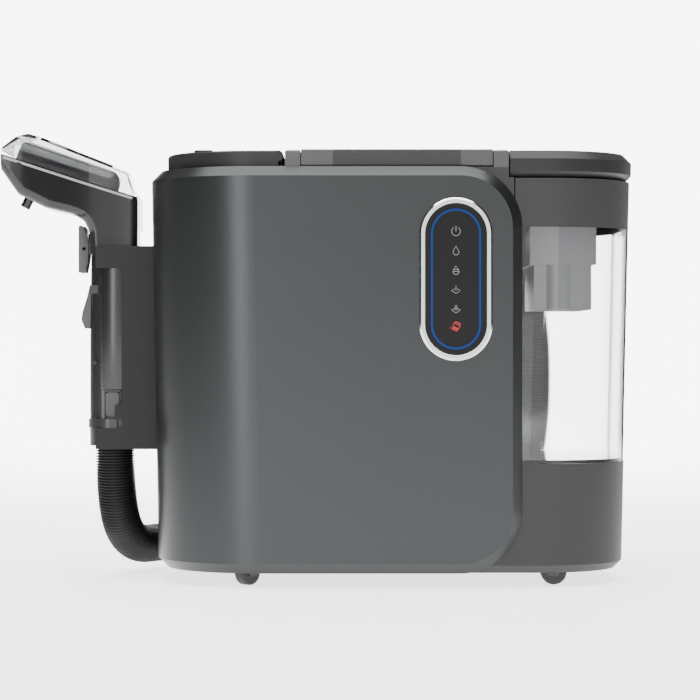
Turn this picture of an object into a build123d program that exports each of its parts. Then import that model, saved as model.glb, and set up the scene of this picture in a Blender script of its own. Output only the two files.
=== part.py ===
from build123d import *
from math import cos, pi, radians, sin, tan
import os

# Spot extractor: a portable carpet and upholstery washer with a hand tool on a hose.
# Millimetres, +Z up, the front side facing -Y. Sizes are taken from the middle of the
# body on the floor, and the whole machine is moved to its own box centre when written.

# Body form: reaches from the body's middle, taken at the height of the deck's top
DECK_TOP = 333.2
BODY_BOTTOM = 10.6
HALF_DEPTH = 97.0
LEFT_REACH = 180.8
RIGHT_REACH = 188.8
LEFT_CORNER = 75.0
RIGHT_CORNER = 70.0
LEFT_LEAN = 1.03
RIGHT_LEAN = 1.28
WALL = 3.0

# Side panels and the end cover between them
PANEL = 8.0
PANEL_SKIN = 2.6
PANEL_BEVEL = 7.6
PANEL_TOP = 320.8
PANEL_RIGHT = 99.1
PANEL_CORNER = 47.0
PANEL_RELIEF_MARGIN = 16.0
COVER_HALF_WIDTH = 27.0
SEAM = 0.5

# Housing and its bays
PAN_TOP = 20.0
PAN_FLOOR = 3.0
PAN_EDGE = 6.0
SCREW_HEAD = 3.4
SCREW_SHANK = 1.6
SCREW_LENGTH = 14.0
HOUSING_TOP = 320.0
BAY_RIGHT = 93.0
BAY_LEFT = -84.0
BASE_TOP = 94.0
LEFT_BAY_FLOOR = 60.0
SHELF_Z = 112.0
SHELF = (-44.0, 66.0)
BAY_WALL_TOP = 312.3

# Deck and carry handle
DECK_LEFT = -81.6
DECK_RIGHT = 88.9
DECK_UNDER = 316.5
CROWN_LEFT = -69.4
CROWN_RIGHT = 76.8
CROWN_TOP = 334.0
SLEEVE_LEFT = -45.2
SLEEVE_RIGHT = 52.6
HANDLE_CLEARANCE = 0.6
HANDLE_BAR = 22.0
HANDLE_FRONT = -95.5
TRUNNION = 3.5
TRUNNION_LENGTH = 5.0
SHAFT_CLEARANCE = 0.06
FINGER_FLOOR = 300.0
MOULDING = 2.5

# Control pod on the near panel
POD_X = 48.3
POD_Z = 234.5
BEZEL_SIZE = (55.1, 123.8)
LENS_SIZE = (46.8, 115.1)
LIGHT_SIZE = (38.1, 106.8)
LIGHT_WIDTH = 1.6
BEZEL_PROUD = 2.2
BEZEL_SEAT = 3.0
POD_CLEARANCE = 0.15
POD_FRAME = 7.0

# Recovery tank
TANK_CLEARANCE = 0.8
TANK_INSET = 0.5
TANK_WALL = 2.5
WINDOW_TOP = 274.8
COLLAR_TOP = 311.9
COLLAR_WALL = 3.0
PORT_LEFT = 104.0
PORT_RIGHT = 163.0
PORT_HALF_DEPTH = 60.0
LID_BOTTOM = 313.1
LID_LEFT = 90.0
LID_PROUD = 0.8
LID_BEVEL = 6.5
LID_UNDER_BEVEL = 4.0
SEPARATOR_STEP = 247.2
SEPARATOR_FOOT = 212.2
SEPARATOR_WALL = 2.0
COLUMN_X = 130.4
COLUMN_RADIUS = 10.4
COLUMN_TOP = 256.6
FLOAT_RADIUS = 15.0
FLOAT_HEIGHT = 16.0
FLOAT_RISE = 12.0

# Clean tank
CLEAN_INSET = 3.6
CLEAN_WALL = 2.2
CLEAN_BOTTOM = 69.2
CLEAN_TOP = 319.5
FILLER_X = -130.0
FILLER_RADIUS = 22.0
CAP_INSET = 5.0
CAP_RIGHT = -82.8
CAP_BOTTOM = 321.1
CAP_PIVOT_X = -86.9
CAP_PIVOT_Z = 329.1
CAP_KNUCKLE = 4.1
CAP_PIN = 2.0
CAP_KNUCKLE_HALF = 40.0
SEAT_TOP = 69.0
SEAT_RADIUS = 12.0
SEAT_PIN_TOP = 66.4
VALVE_STEM = 3.0
VALVE_TRAVEL = 3.0

# Motor, pump and electrics
MOTOR_X = 10.0
MOTOR_RADIUS = 55.0
MOTOR_MOUNT = 5.0
MOTOR_HEIGHT = 112.0
MOTOR_WALL = 3.0
FAN_RADIUS = 46.0
FAN_HEIGHT = 16.0
SHAFT_RADIUS = 4.0
DUCT_Z = 278.0
AIR_DUCT_RADIUS = 12.0
DIRT_DUCT_RADIUS = 14.0
DIRT_DUCT_Y = 58.0
DUCT_WALL = 1.8
WATER_TUBE_RADIUS = 3.0

# Hose storage on the far side
HOSE_RADIUS = 15.5
HOSE_STANDOFF = 21.0
HOSE_Y = HALF_DEPTH + PANEL + HOSE_STANDOFF
HOSE_LOW = 21.5
LOOP_X = 31.0
LOOP_RADIUS = 93.0
LOOP_TOP_Z = 200.0
PORT_TOP = 162.0
PORT_Z = 134.0
PORT_SOCKET = 19.5
PORT_NECK = 17.0
HOSE_CLEARANCE = 0.4
CLIP_CLEARANCE = 1.2
HOOK_WALL = 3.0
CLIP_X = -35.0
PUMP_X = (-70.0, -22.0)
PUMP_Y = -52.0
PUMP_Z = 38.0
PUMP_RADIUS = 17.0
GLAND_X = 60.0
GLAND_Z = 82.0
GLAND_BORE = 4.0
GLAND_RADIUS = 8.0
GLAND_LENGTH = 14.0
GRILLE = (-22.0, 38.0, 58.0, 122.0)

# Tool cradle on the left end
CRADLE_LEFT = -233.0
CRADLE_EDGE = -212.2
CRADLE_BOTTOM = 102.4
CRADLE_TOP = 263.0
CRADLE_LOWER_ARM = 119.2
CRADLE_UPPER_ARM = 245.8
CRADLE_INNER = 21.5
CRADLE_PLATE = 4.0
CRADLE_MOUTH_ROUND = 3.5

# Hand tool
TOOL_X = -219.6
CUFF_RADIUS = 20.2
CUFF_BOTTOM = 104.8
FLANGE_TOP = 126.4
FLANGE_HALF_WIDTH = 26.0
GRIP_FRONT = -239.2
GRIP_BACK = -203.0
GRIP_TOP = 256.0
GRIP_HALF = 17.0
GRIP_ROUND = 12.0
GRIP_WALL = 2.2
TRIGGER_HALF = 7.0
TRIGGER_PIVOT = (-236.0, 229.0)
TRIGGER_PIN = 1.5
PLUNGER_Z = 205.0
PLUNGER_RADIUS = 1.5
LATCH_PIVOT = (-243.6, 261.4)
LATCH_HALF = 6.0
BUTTON = (-225.6, -215.2, 128.0, 147.2)
BUTTON_CLEARANCE = 0.3
NOZZLE_REACH = 305.0
NECK_HALF = 18.0
MOUTH_HALF = 47.0
FAN_START = -236.0
FAN_END = -290.0
FAN_NECK_ROUND = 110.0
FAN_MOUTH_ROUND = 30.0
HEAD_BACK = -200.8
RIM_BACK = (-201.6, 302.4)
RIM_MOUTH = (-NOZZLE_REACH, 334.2)
HEAD_ROUND = 6.0
THROAT_ROUND = 8.0
SPRAY_TUBE = 2.0
SHELL = 2.4

# Casters: stem x, stem y, and the direction in which the wheel trails
TOOL_SCREW = 1.6
WHEEL_RADIUS = 10.0
WHEEL_WIDTH = 9.0
WHEEL_TRAIL = 7.0
AXLE = 1.6
FORK_PLATE = 2.0
FORK_GAP = 0.4
STEM = 4.0
STEM_TOP = 30.0
POCKET = 18.8
POCKET_WALL = 2.2
POCKET_TOP = 24.0
CASTERS = {
    "front_left": (-106.0, -70.0, 225.0),
    "front_right": (118.0, -70.0, 0.0),
    "rear_left": (-106.0, 70.0, 150.0),
    "rear_right": (118.0, 70.0, 30.0),
}

# The machine's box centre, which the written parts take as their origin
HOOK_REACH = HOSE_Y + HOSE_RADIUS + HOSE_CLEARANCE + HOOK_WALL + 1.1
ORIGIN_X = (-NOZZLE_REACH + RIGHT_REACH + LID_PROUD) / 2
ORIGIN_Y = (HOOK_REACH - HALF_DEPTH - PANEL - BEZEL_PROUD) / 2


def block(x0, x1, y0, y1, z0, z1):
    """A box between two corners."""
    return Pos((x0 + x1) / 2, (y0 + y1) / 2, (z0 + z1) / 2) * Box(abs(x1 - x0), abs(y1 - y0), abs(z1 - z0))


def rod(radius, start, end):
    """A round bar from one point to another."""
    start = Vector(start)
    run = Vector(end) - start
    return extrude(Plane(origin=start, z_dir=run.normalized()) * Circle(radius), run.length)


def pipe(radius, start, end, bore):
    return rod(radius, start, end) - rod(bore, start, end)


def together(solids):
    """Separate solids that are written as one node."""
    joined = solids[0]
    for solid in solids[1:]:
        joined += solid
    return joined


def side_slab(outline, y0, y1):
    """An outline in X and Z, made solid from y0 to y1."""
    plane = Plane(origin=(0, y0, 0), x_dir=(1, 0, 0), z_dir=(0, -1, 0))
    return extrude(plane * outline, y1 - y0, dir=(0, 1, 0))


def polygon(*points):
    return Polygon(*points, align=None)


def upright_slot(size, x, z):
    """A slot with round ends, standing on end in X and Z."""
    return Pos(x, z) * Rot(0, 0, 90) * SlotOverall(size[1], size[0])


def tube(points, radius, wall, bend):
    """A hollow tube along straight runs joined by arcs."""
    path = FilletPolyline(*points, radius=bend) if len(points) > 2 else Line(*points)
    start = Plane(origin=path @ 0, z_dir=path % 0)
    outer = sweep(start * Circle(radius), path=path)
    inner = sweep(start * Circle(radius - wall), path=path)
    return outer - inner


def leaning_half(side, reach, corner, lean, half_depth, bottom, top):
    """One half of the body: a rounded end that leans outwards as it rises."""
    tilt = radians(lean)
    plane = Plane(
        origin=(side * reach, 0, DECK_TOP),
        x_dir=(cos(tilt), 0, -side * sin(tilt)),
        z_dir=(side * sin(tilt), 0, cos(tilt)),
    )
    length = reach + 60
    outline = Pos(-side * length / 2, 0) * Rectangle(length, 2 * half_depth)
    outer = outline.vertices().sort_by(Axis.X)
    outer = outer[-2:] if side > 0 else outer[:2]
    column = extrude(plane * fillet(outer, corner), 500, both=True)
    return column & block(0, side * (reach + 60), -200, 200, bottom, top)


def form(inset, bottom, top):
    """The housing's outer form, moved inwards by inset, between two heights."""
    left = leaning_half(
        -1, LEFT_REACH - inset, LEFT_CORNER - inset, LEFT_LEAN, HALF_DEPTH - inset, bottom, top,
    )
    right = leaning_half(
        1, RIGHT_REACH - inset, RIGHT_CORNER - inset, RIGHT_LEAN, HALF_DEPTH - inset, bottom, top,
    )
    return left + right


def keep_x(solid, x0, x1):
    return solid & block(x0, x1, -200, 200, -50, 500)


def panel_outline(margin):
    """The side view of a panel: square at the left, with round corners at the right."""
    left = -LEFT_REACH - 40
    width = PANEL_RIGHT - margin - left
    height = PANEL_TOP - BODY_BOTTOM - 2 * margin
    plate = Pos(left + width / 2, BODY_BOTTOM + margin + height / 2) * Rectangle(width, height)
    corners = plate.vertices().sort_by(Axis.X)[-2:]
    return fillet(corners, max(PANEL_CORNER - margin, 4))


def bevelled_skin():
    """The skin that the panels and the end cover share, with its border bevelled."""
    outer = form(-PANEL, BODY_BOTTOM, PANEL_TOP)
    outer = outer & side_slab(panel_outline(0), -200, 200)
    faces = [face for face in outer.faces() if abs(face.normal_at().Z) < 0.5]
    depth = HALF_DEPTH + PANEL
    rim = []
    for face in faces:
        if face.center().X > PANEL_RIGHT - PANEL_CORNER and abs(face.center().Y) < depth - 1:
            continue
        rim += [edge for edge in face.edges() if is_rim(edge, depth)]
    unique = {tuple(round(v, 2) for v in tuple(edge.center())): edge for edge in rim}
    return chamfer(list(unique.values()), PANEL_BEVEL)


def is_rim(edge, depth):
    """Whether an edge lies on the border of the panels' outer face."""
    middle = edge @ 0.5
    on_side = abs(abs(middle.Y) - depth) < 0.01
    at_end = middle.X < -LEFT_REACH + LEFT_CORNER + 5
    level = abs(middle.Z - BODY_BOTTOM) < 0.01 or abs(middle.Z - PANEL_TOP) < 0.01
    border = level or middle.X > PANEL_RIGHT - PANEL_CORNER
    return border and (on_side or at_end)


def pod_frame(y0, y1, extra):
    size = (BEZEL_SIZE[0] + 2 * extra, BEZEL_SIZE[1] + 2 * extra)
    return side_slab(upright_slot(size, POD_X, POD_Z), y0, y1)


def side_panels():
    """Both side panels and the end cover, hollow behind their skins."""
    skin = bevelled_skin() - form(-0.15, BODY_BOTTOM - 5, PANEL_TOP + 5)
    relief = form(-PANEL + PANEL_SKIN, 0, 400) - form(-0.1, 0, 400)
    relief = relief & side_slab(panel_outline(PANEL_RELIEF_MARGIN), -200, 200)
    relief -= block(-400, -150, -COVER_HALF_WIDTH - 4, COVER_HALF_WIDTH + 4, 0, 400)
    strip = block(-400, -150, -COVER_HALF_WIDTH, COVER_HALF_WIDTH, 0, 400)
    wide = block(-400, -150, -COVER_HALF_WIDTH - SEAM, COVER_HALF_WIDTH + SEAM, 0, 400)
    near = (skin - relief - wide) & block(-400, 400, -200, 0, 0, 400)
    far = (skin - relief - wide) & block(-400, 400, 0, 200, 0, 400)
    face = -HALF_DEPTH - PANEL
    near += (pod_frame(face + 1, -HALF_DEPTH - 0.15, POD_FRAME) - form(-0.15, 0, 400))
    near -= pod_frame(face - 5, face + BEZEL_SEAT + 0.1, POD_CLEARANCE)
    well = (LENS_SIZE[0] - 2, LENS_SIZE[1] - 2)
    near -= side_slab(upright_slot(well, POD_X, POD_Z), face - 5, -HALF_DEPTH + 1)
    back = HALF_DEPTH + PANEL
    port = rod(
        PORT_NECK + 4, (LOOP_X - LOOP_RADIUS, HALF_DEPTH + 0.15, PORT_Z),
        (LOOP_X - LOOP_RADIUS, back - 1, PORT_Z),
    )
    gland = rod(GLAND_RADIUS + 4, (GLAND_X, HALF_DEPTH + 0.15, GLAND_Z), (GLAND_X, back - 1, GLAND_Z))
    far = far + port + gland
    far -= rod(PORT_NECK + 0.2, (LOOP_X - LOOP_RADIUS, 60, PORT_Z), (LOOP_X - LOOP_RADIUS, 140, PORT_Z))
    far -= rod(GLAND_RADIUS + 0.1, (GLAND_X, 60, GLAND_Z), (GLAND_X, 140, GLAND_Z))
    left, right, low, high = GRILLE
    far -= block(left, right, 60, 140, low, high)
    return near, far, skin & strip


def main_housing():
    """The structural shell with both tank bays and the motor's shelf."""
    outer = form(0, PAN_TOP, HOUSING_TOP)
    walls = outer - form(WALL, 0, 400)
    walls -= block(BAY_RIGHT, 300, -200, 200, BASE_TOP, 400)
    bay_wall = block(BAY_RIGHT - WALL, BAY_RIGHT, -200, 200, PAN_TOP, BAY_WALL_TOP)
    bay_floor = block(BAY_RIGHT - WALL, 300, -200, 200, BASE_TOP - WALL, BASE_TOP)
    left_wall = block(BAY_LEFT, BAY_LEFT + WALL, -200, 200, LEFT_BAY_FLOOR, HOUSING_TOP)
    left_floor = block(-300, BAY_LEFT + WALL, -200, 200, LEFT_BAY_FLOOR, LEFT_BAY_FLOOR + WALL)
    shelf = block(SHELF[0], SHELF[1], -200, 200, SHELF_Z, SHELF_Z + WALL)
    shelf -= rod(MOTOR_RADIUS - 12, (MOTOR_X, 0, SHELF_Z - 5), (MOTOR_X, 0, SHELF_Z + 10))
    housing = walls + (outer & (bay_wall + bay_floor + left_wall + left_floor + shelf))
    housing -= block(DECK_RIGHT, 300, -200, 200, BAY_WALL_TOP, 400)
    housing -= rod(SEAT_RADIUS / 2, (FILLER_X, 0, LEFT_BAY_FLOOR - 5), (FILLER_X, 0, LEFT_BAY_FLOOR + 10))
    housing -= rod(PORT_NECK + 0.2, (LOOP_X - LOOP_RADIUS, 80, PORT_Z), (LOOP_X - LOOP_RADIUS, 120, PORT_Z))
    housing -= rod(GLAND_RADIUS + 0.1, (GLAND_X, 80, GLAND_Z), (GLAND_X, 120, GLAND_Z))
    housing -= rod(
        DIRT_DUCT_RADIUS, (BAY_RIGHT - 10, DIRT_DUCT_Y, DUCT_Z), (BAY_RIGHT + 5, DIRT_DUCT_Y, DUCT_Z),
    )
    housing -= rod(AIR_DUCT_RADIUS, (BAY_RIGHT - 10, 0, DUCT_Z), (BAY_RIGHT + 5, 0, DUCT_Z))
    left, right, low, high = GRILLE
    return housing - block(left, right, 80, 120, low, high)


def base_pan():
    """The bottom tray with a pocket and a stem socket for each caster."""
    tray = form(0, BODY_BOTTOM, PAN_TOP)
    rim = [edge for edge in tray.edges() if abs((edge @ 0.5).Z - BODY_BOTTOM) < 0.01]
    tray = chamfer([edge for edge in rim if abs((edge @ 0.5).X) > 1 or abs((edge @ 0.5).Y) > 1], PAN_EDGE)
    tray -= form(WALL + PAN_EDGE, BODY_BOTTOM + PAN_FLOOR, PAN_TOP + 5)
    for x, y, _ in CASTERS.values():
        tray += rod(
            POCKET + POCKET_WALL, (x, y, BODY_BOTTOM), (x, y, POCKET_TOP + POCKET_WALL),
        ) & form(WALL + 0.2, 0, 60)
        tray += rod(STEM + 3, (x, y, POCKET_TOP), (x, y, STEM_TOP + 1))
        tray -= rod(POCKET, (x, y, 0), (x, y, POCKET_TOP))
        tray -= rod(STEM + SHAFT_CLEARANCE, (x, y, 0), (x, y, STEM_TOP + 5))
    for x, y in screw_places():
        tray -= rod(SCREW_HEAD + 0.3, (x, y, BODY_BOTTOM - 1), (x, y, BODY_BOTTOM + 1.6))
        tray -= rod(SCREW_SHANK, (x, y, BODY_BOTTOM - 1), (x, y, PAN_TOP))
    return tray


def screw_places():
    return [(x, y) for x in (-60.0, 20.0, 85.0) for y in (-80.0, 80.0)]


def housing_screws():
    """Pan head screws that hold the tray to the housing's posts."""
    screws = []
    for x, y in screw_places():
        screws.append(rod(SCREW_HEAD, (x, y, BODY_BOTTOM + 0.2), (x, y, BODY_BOTTOM + 1.6)))
        screws[-1] += rod(SCREW_SHANK, (x, y, BODY_BOTTOM + 1.6), (x, y, BODY_BOTTOM + SCREW_LENGTH))
    return together(screws)


def top_deck():
    """The deck between the tanks, with a tray for the folded handle and a finger scoop."""
    deck = keep_x(form(0, HOUSING_TOP, DECK_TOP), DECK_LEFT, DECK_RIGHT)
    top = [edge for edge in deck.edges() if abs((edge @ 0.5).Z - DECK_TOP) < 0.01]
    deck = chamfer(top, 1.2)
    crown = block(CROWN_LEFT, CROWN_RIGHT, TRUNNION + 6, HALF_DEPTH - 1.5, DECK_TOP - 1, CROWN_TOP)
    deck += crown
    under = keep_x(form(WALL + 0.3, DECK_UNDER, HOUSING_TOP), BAY_LEFT + WALL + 0.3, DECK_RIGHT - 1)
    deck += under
    tray = (CROWN_LEFT - HANDLE_CLEARANCE, CROWN_RIGHT + HANDLE_CLEARANCE)
    pivot_z = handle_pivot_z()
    floor = PANEL_TOP - HANDLE_CLEARANCE
    deck -= block(tray[0], tray[1], -200, 0, floor, 400)
    deck -= rod(pivot_z - floor, (tray[0], 0, pivot_z), (tray[1], 0, pivot_z))
    deck -= block(tray[0], tray[1], 0, pivot_z - floor, pivot_z, 400)
    scoop = (SLEEVE_LEFT + 2, SLEEVE_RIGHT - 2, HANDLE_FRONT + HANDLE_BAR, -TRUNNION - 8)
    tub = block(scoop[0] - MOULDING, scoop[1] + MOULDING, scoop[2] - MOULDING, scoop[3] + MOULDING,
                FINGER_FLOOR - MOULDING, DECK_UNDER)
    deck += tub
    deck -= block(scoop[0], scoop[1], scoop[2], scoop[3], FINGER_FLOOR, 400)
    reach = TRUNNION_LENGTH + 1
    deck -= rod(TRUNNION + SHAFT_CLEARANCE, (tray[0] - reach, 0, pivot_z), (tray[1] + reach, 0, pivot_z))
    return deck


def handle_pivot_z():
    return (PANEL_TOP + CROWN_TOP) / 2


def carry_handle():
    """A bail that folds flat into the deck and swings up on two trunnions."""
    pivot_z = handle_pivot_z()
    knuckle = (CROWN_TOP - PANEL_TOP) / 2
    bail = block(CROWN_LEFT, CROWN_RIGHT, HANDLE_FRONT, 0, PANEL_TOP, CROWN_TOP)
    bail = fillet(bail.edges().filter_by(Axis.X).sort_by(Axis.Y)[:2], 2.0)
    bail += rod(knuckle, (CROWN_LEFT, 0, pivot_z), (CROWN_RIGHT, 0, pivot_z))
    bail -= block(SLEEVE_LEFT, SLEEVE_RIGHT, HANDLE_FRONT + HANDLE_BAR, 50, 0, 400)
    bail -= sleeve_block() - sleeve_core(0)
    for x, side in ((CROWN_LEFT, -1), (CROWN_RIGHT, 1)):
        bail += rod(TRUNNION, (x, 0, pivot_z), (x + side * TRUNNION_LENGTH, 0, pivot_z))
    return bail


def sleeve_block():
    return block(
        SLEEVE_LEFT, SLEEVE_RIGHT, HANDLE_FRONT - 1, HANDLE_FRONT + HANDLE_BAR, PANEL_TOP - 1,
        CROWN_TOP + 1,
    )


def sleeve_core(gap):
    return block(
        SLEEVE_LEFT - 1, SLEEVE_RIGHT + 1, HANDLE_FRONT + 3 - gap, HANDLE_FRONT + HANDLE_BAR - 3 + gap,
        PANEL_TOP + 3 - gap, CROWN_TOP - 3 + gap,
    )


def handle_sleeve():
    """The soft grip around the handle's bar."""
    sleeve = block(SLEEVE_LEFT, SLEEVE_RIGHT, HANDLE_FRONT, HANDLE_FRONT + HANDLE_BAR, PANEL_TOP, CROWN_TOP)
    sleeve = fillet(sleeve.edges().filter_by(Axis.X), 2.0)
    return sleeve - sleeve_core(0)


def control_pod():
    """Bezel, lens, light guide and board of the touch controls."""
    face = -HALF_DEPTH - PANEL
    inner = (LENS_SIZE[0] + 2 * POD_CLEARANCE, LENS_SIZE[1] + 2 * POD_CLEARANCE)
    bezel = pod_frame(face - BEZEL_PROUD, face + BEZEL_SEAT, 0)
    front = [edge for edge in bezel.edges() if abs((edge @ 0.5).Y - (face - BEZEL_PROUD)) < 0.01]
    bezel = chamfer(front, 1.2)
    bezel -= side_slab(upright_slot(inner, POD_X, POD_Z), face - 9, face + 9)
    lens = side_slab(upright_slot(LENS_SIZE, POD_X, POD_Z), face - 0.8, face + BEZEL_SEAT)
    groove = (LIGHT_SIZE[0] - 2 * LIGHT_WIDTH, LIGHT_SIZE[1] - 2 * LIGHT_WIDTH)
    ring = upright_slot(LIGHT_SIZE, POD_X, POD_Z) - upright_slot(groove, POD_X, POD_Z)
    guide = side_slab(ring, face - 1.0, face + 0.8)
    lens -= side_slab(ring, face - 2, face + 0.8)
    board_size = (LENS_SIZE[0] - 3, LENS_SIZE[1] - 3)
    board = side_slab(upright_slot(board_size, POD_X, POD_Z), face + 4.2, face + 5.8)
    for z in (POD_Z - 38, POD_Z + 38):
        board += rod(2.5, (POD_X, face + 5, z), (POD_X, -HALF_DEPTH, z))
    return bezel, lens, guide, board


def recovery_tank():
    """The clear tank and the opaque collar that closes its top."""
    left = BAY_RIGHT + TANK_CLEARANCE
    bottom = BASE_TOP + 0.3
    tank = keep_x(form(TANK_INSET, bottom, WINDOW_TOP), left, 300)
    tank -= keep_x(form(TANK_INSET + TANK_WALL, bottom + TANK_WALL, WINDOW_TOP + 5), left + TANK_WALL, 300)
    collar = keep_x(form(TANK_INSET, WINDOW_TOP, COLLAR_TOP), left, 300)
    collar -= keep_x(
        form(TANK_INSET + COLLAR_WALL, WINDOW_TOP - 5, COLLAR_TOP - COLLAR_WALL), left + COLLAR_WALL, 300,
    )
    collar -= block(PORT_LEFT, PORT_RIGHT, -PORT_HALF_DEPTH, PORT_HALF_DEPTH, WINDOW_TOP, 400)
    collar -= rod(
        DIRT_DUCT_RADIUS - DUCT_WALL, (left - 5, DIRT_DUCT_Y, DUCT_Z), (left + 6, DIRT_DUCT_Y, DUCT_Z),
    ) & block(0, 300, -200, 200, WINDOW_TOP + 2, 400)
    return tank, collar


def tank_lid():
    """The lift-off lid with its seal and the separator that hangs from it."""
    lid = keep_x(form(-LID_PROUD, LID_BOTTOM, DECK_TOP), LID_LEFT, 300)
    top = [e for e in lid.edges() if abs((e @ 0.5).Z - DECK_TOP) < 0.01 and (e @ 0.5).X > LID_LEFT + 0.1]
    lid = chamfer(top, LID_BEVEL)
    low = [e for e in lid.edges() if abs((e @ 0.5).Z - LID_BOTTOM) < 0.01 and (e @ 0.5).X > LID_LEFT + 0.1]
    lid = chamfer(low, LID_UNDER_BEVEL)
    hollow = keep_x(form(9.0, LID_BOTTOM - 5, DECK_TOP - 3), PORT_RIGHT + 6, 300)
    return lid - hollow


def lid_seal():
    """A flat gasket between the lid and the collar, around the port."""
    outer = block(
        PORT_LEFT - 3, PORT_RIGHT + 3, -PORT_HALF_DEPTH - 3, PORT_HALF_DEPTH + 3, COLLAR_TOP + 0.1,
        LID_BOTTOM,
    )
    return outer - block(PORT_LEFT + 3, PORT_RIGHT - 3, -PORT_HALF_DEPTH + 3, PORT_HALF_DEPTH - 3, 0, 400)


def separator():
    """The box under the lid that turns the air and drops the water, open at its foot."""
    x0, x1, half = PORT_LEFT + 4, PORT_RIGHT - 3.8, PORT_HALF_DEPTH - 4
    upper = block(x0, x1, -half, half, SEPARATOR_STEP, LID_BOTTOM)
    lower = block(x0 + 3.4, x1 - 3.2, -half + 6, half - 6, SEPARATOR_FOOT, SEPARATOR_STEP)
    body = upper + lower
    wall = SEPARATOR_WALL
    hollow = block(x0 + wall, x1 - wall, -half + wall, half - wall, SEPARATOR_STEP + wall, LID_BOTTOM - 4)
    hollow += block(
        x0 + 3.4 + wall, x1 - 3.2 - wall, -half + 6 + wall, half - 6 - wall, SEPARATOR_FOOT - 1,
        LID_BOTTOM - 8,
    )
    body -= hollow
    column_x, column_y = COLUMN_X, COLUMN_RADIUS + 0.5 - half
    column = rod(COLUMN_RADIUS, (column_x, column_y, SEPARATOR_FOOT), (column_x, column_y, COLUMN_TOP))
    body += column - hollow
    cage = block(x0 + 3.4, x1 - 3.2, -3, 3, SEPARATOR_FOOT, SEPARATOR_FOOT + wall)
    return body + cage


def tank_float():
    """The float that rises and shuts off the suction when the tank is full."""
    x = (PORT_LEFT + PORT_RIGHT) / 2 + 1.7
    foot = SEPARATOR_FOOT + SEPARATOR_WALL + 0.3
    return fillet((Pos(x, 0, foot + FLOAT_HEIGHT / 2) * Cylinder(FLOAT_RADIUS, FLOAT_HEIGHT)).edges(), 2.0)


def clean_tank():
    """The clean water tank, with lugs for its cap and a hole for its valve."""
    right = BAY_LEFT - TANK_CLEARANCE
    tank = keep_x(form(CLEAN_INSET, CLEAN_BOTTOM, CLEAN_TOP), -300, right)
    tank -= keep_x(
        form(CLEAN_INSET + CLEAN_WALL, CLEAN_BOTTOM + CLEAN_WALL, CLEAN_TOP - CLEAN_WALL), -300,
        right - CLEAN_WALL,
    )
    tank -= rod(FILLER_RADIUS, (FILLER_X, 0, CLEAN_TOP - 10), (FILLER_X, 0, CLEAN_TOP + 10))
    tank -= rod(
        VALVE_STEM + SHAFT_CLEARANCE, (FILLER_X, 0, CLEAN_BOTTOM - 5), (FILLER_X, 0, CLEAN_BOTTOM + 8),
    )
    for side in (-1, 1):
        y0 = side * (CAP_KNUCKLE_HALF + 1)
        y1 = side * (CAP_KNUCKLE_HALF + 6)
        lug = block(CAP_PIVOT_X - 3.5, CAP_PIVOT_X + 2.1, y0, y1, CLEAN_TOP - CLEAN_WALL, CAP_PIVOT_Z)
        lug += rod(3.5, (CAP_PIVOT_X, y0, CAP_PIVOT_Z), (CAP_PIVOT_X, y1, CAP_PIVOT_Z))
        tank += lug
        tank -= rod(
            CAP_PIN + SHAFT_CLEARANCE, (CAP_PIVOT_X, y0 - side, CAP_PIVOT_Z),
            (CAP_PIVOT_X, y1 + side, CAP_PIVOT_Z),
        )
    return tank


def filler_cap():
    """The cap over the clean tank: a shell with a round hinge edge and a finger tab."""
    plate = keep_x(form(CAP_INSET, CAP_BOTTOM, DECK_TOP), -300, CAP_PIVOT_X)
    top = [
        e for e in plate.edges() if abs((e @ 0.5).Z - DECK_TOP) < 0.01 and (e @ 0.5).X < CAP_PIVOT_X - 0.1
    ]
    plate = chamfer(top, 1.2)
    plate -= keep_x(form(CAP_INSET + 3, CAP_BOTTOM - 5, DECK_TOP - 3), -300, CAP_PIVOT_X - 9)
    reach = HALF_DEPTH - CAP_INSET - 0.5
    plate += rod(CAP_KNUCKLE, (CAP_PIVOT_X, -reach, CAP_PIVOT_Z), (CAP_PIVOT_X, reach, CAP_PIVOT_Z))
    tab = polygon(
        (-153.4, DECK_TOP - 2), (-136.0, DECK_TOP - 2), (-136.0, DECK_TOP), (-139.6, DECK_TOP + 3.4),
        (-153.4, DECK_TOP + 3.4),
    )
    plate += side_slab(tab, -52, 52)
    for side in (-1, 1):
        plate -= block(
            CAP_PIVOT_X - 6, 0, side * (CAP_KNUCKLE_HALF + 0.4), side * (CAP_KNUCKLE_HALF + 6.6), 0, 400,
        )
        start = side * (CAP_KNUCKLE_HALF - 1)
        plate += rod(
            CAP_PIN, (CAP_PIVOT_X, start, CAP_PIVOT_Z),
            (CAP_PIVOT_X, side * (CAP_KNUCKLE_HALF + 5.5), CAP_PIVOT_Z),
        )
    return plate


def outlet_valve():
    """The plunger in the clean tank's floor, closed."""
    floor = CLEAN_BOTTOM + CLEAN_WALL
    stem = rod(VALVE_STEM, (FILLER_X, 0, SEAT_PIN_TOP + 0.3), (FILLER_X, 0, floor + 2))
    return stem + rod(7.0, (FILLER_X, 0, floor + 0.1), (FILLER_X, 0, floor + 2))


def valve_seat():
    """The seat under the clean tank, with its pin and its spigot."""
    seat = rod(SEAT_RADIUS, (FILLER_X, 0, LEFT_BAY_FLOOR + WALL), (FILLER_X, 0, SEAT_TOP))
    seat -= rod(SEAT_RADIUS - 2.5, (FILLER_X, 0, LEFT_BAY_FLOOR + WALL + 2), (FILLER_X, 0, SEAT_TOP + 1))
    seat += rod(
        SEAT_RADIUS / 2 - 0.1, (FILLER_X, 0, LEFT_BAY_FLOOR - 10), (FILLER_X, 0, LEFT_BAY_FLOOR + WALL + 1),
    )
    return seat + rod(1.5, (FILLER_X, 0, LEFT_BAY_FLOOR + WALL), (FILLER_X, 0, SEAT_PIN_TOP))


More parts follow.
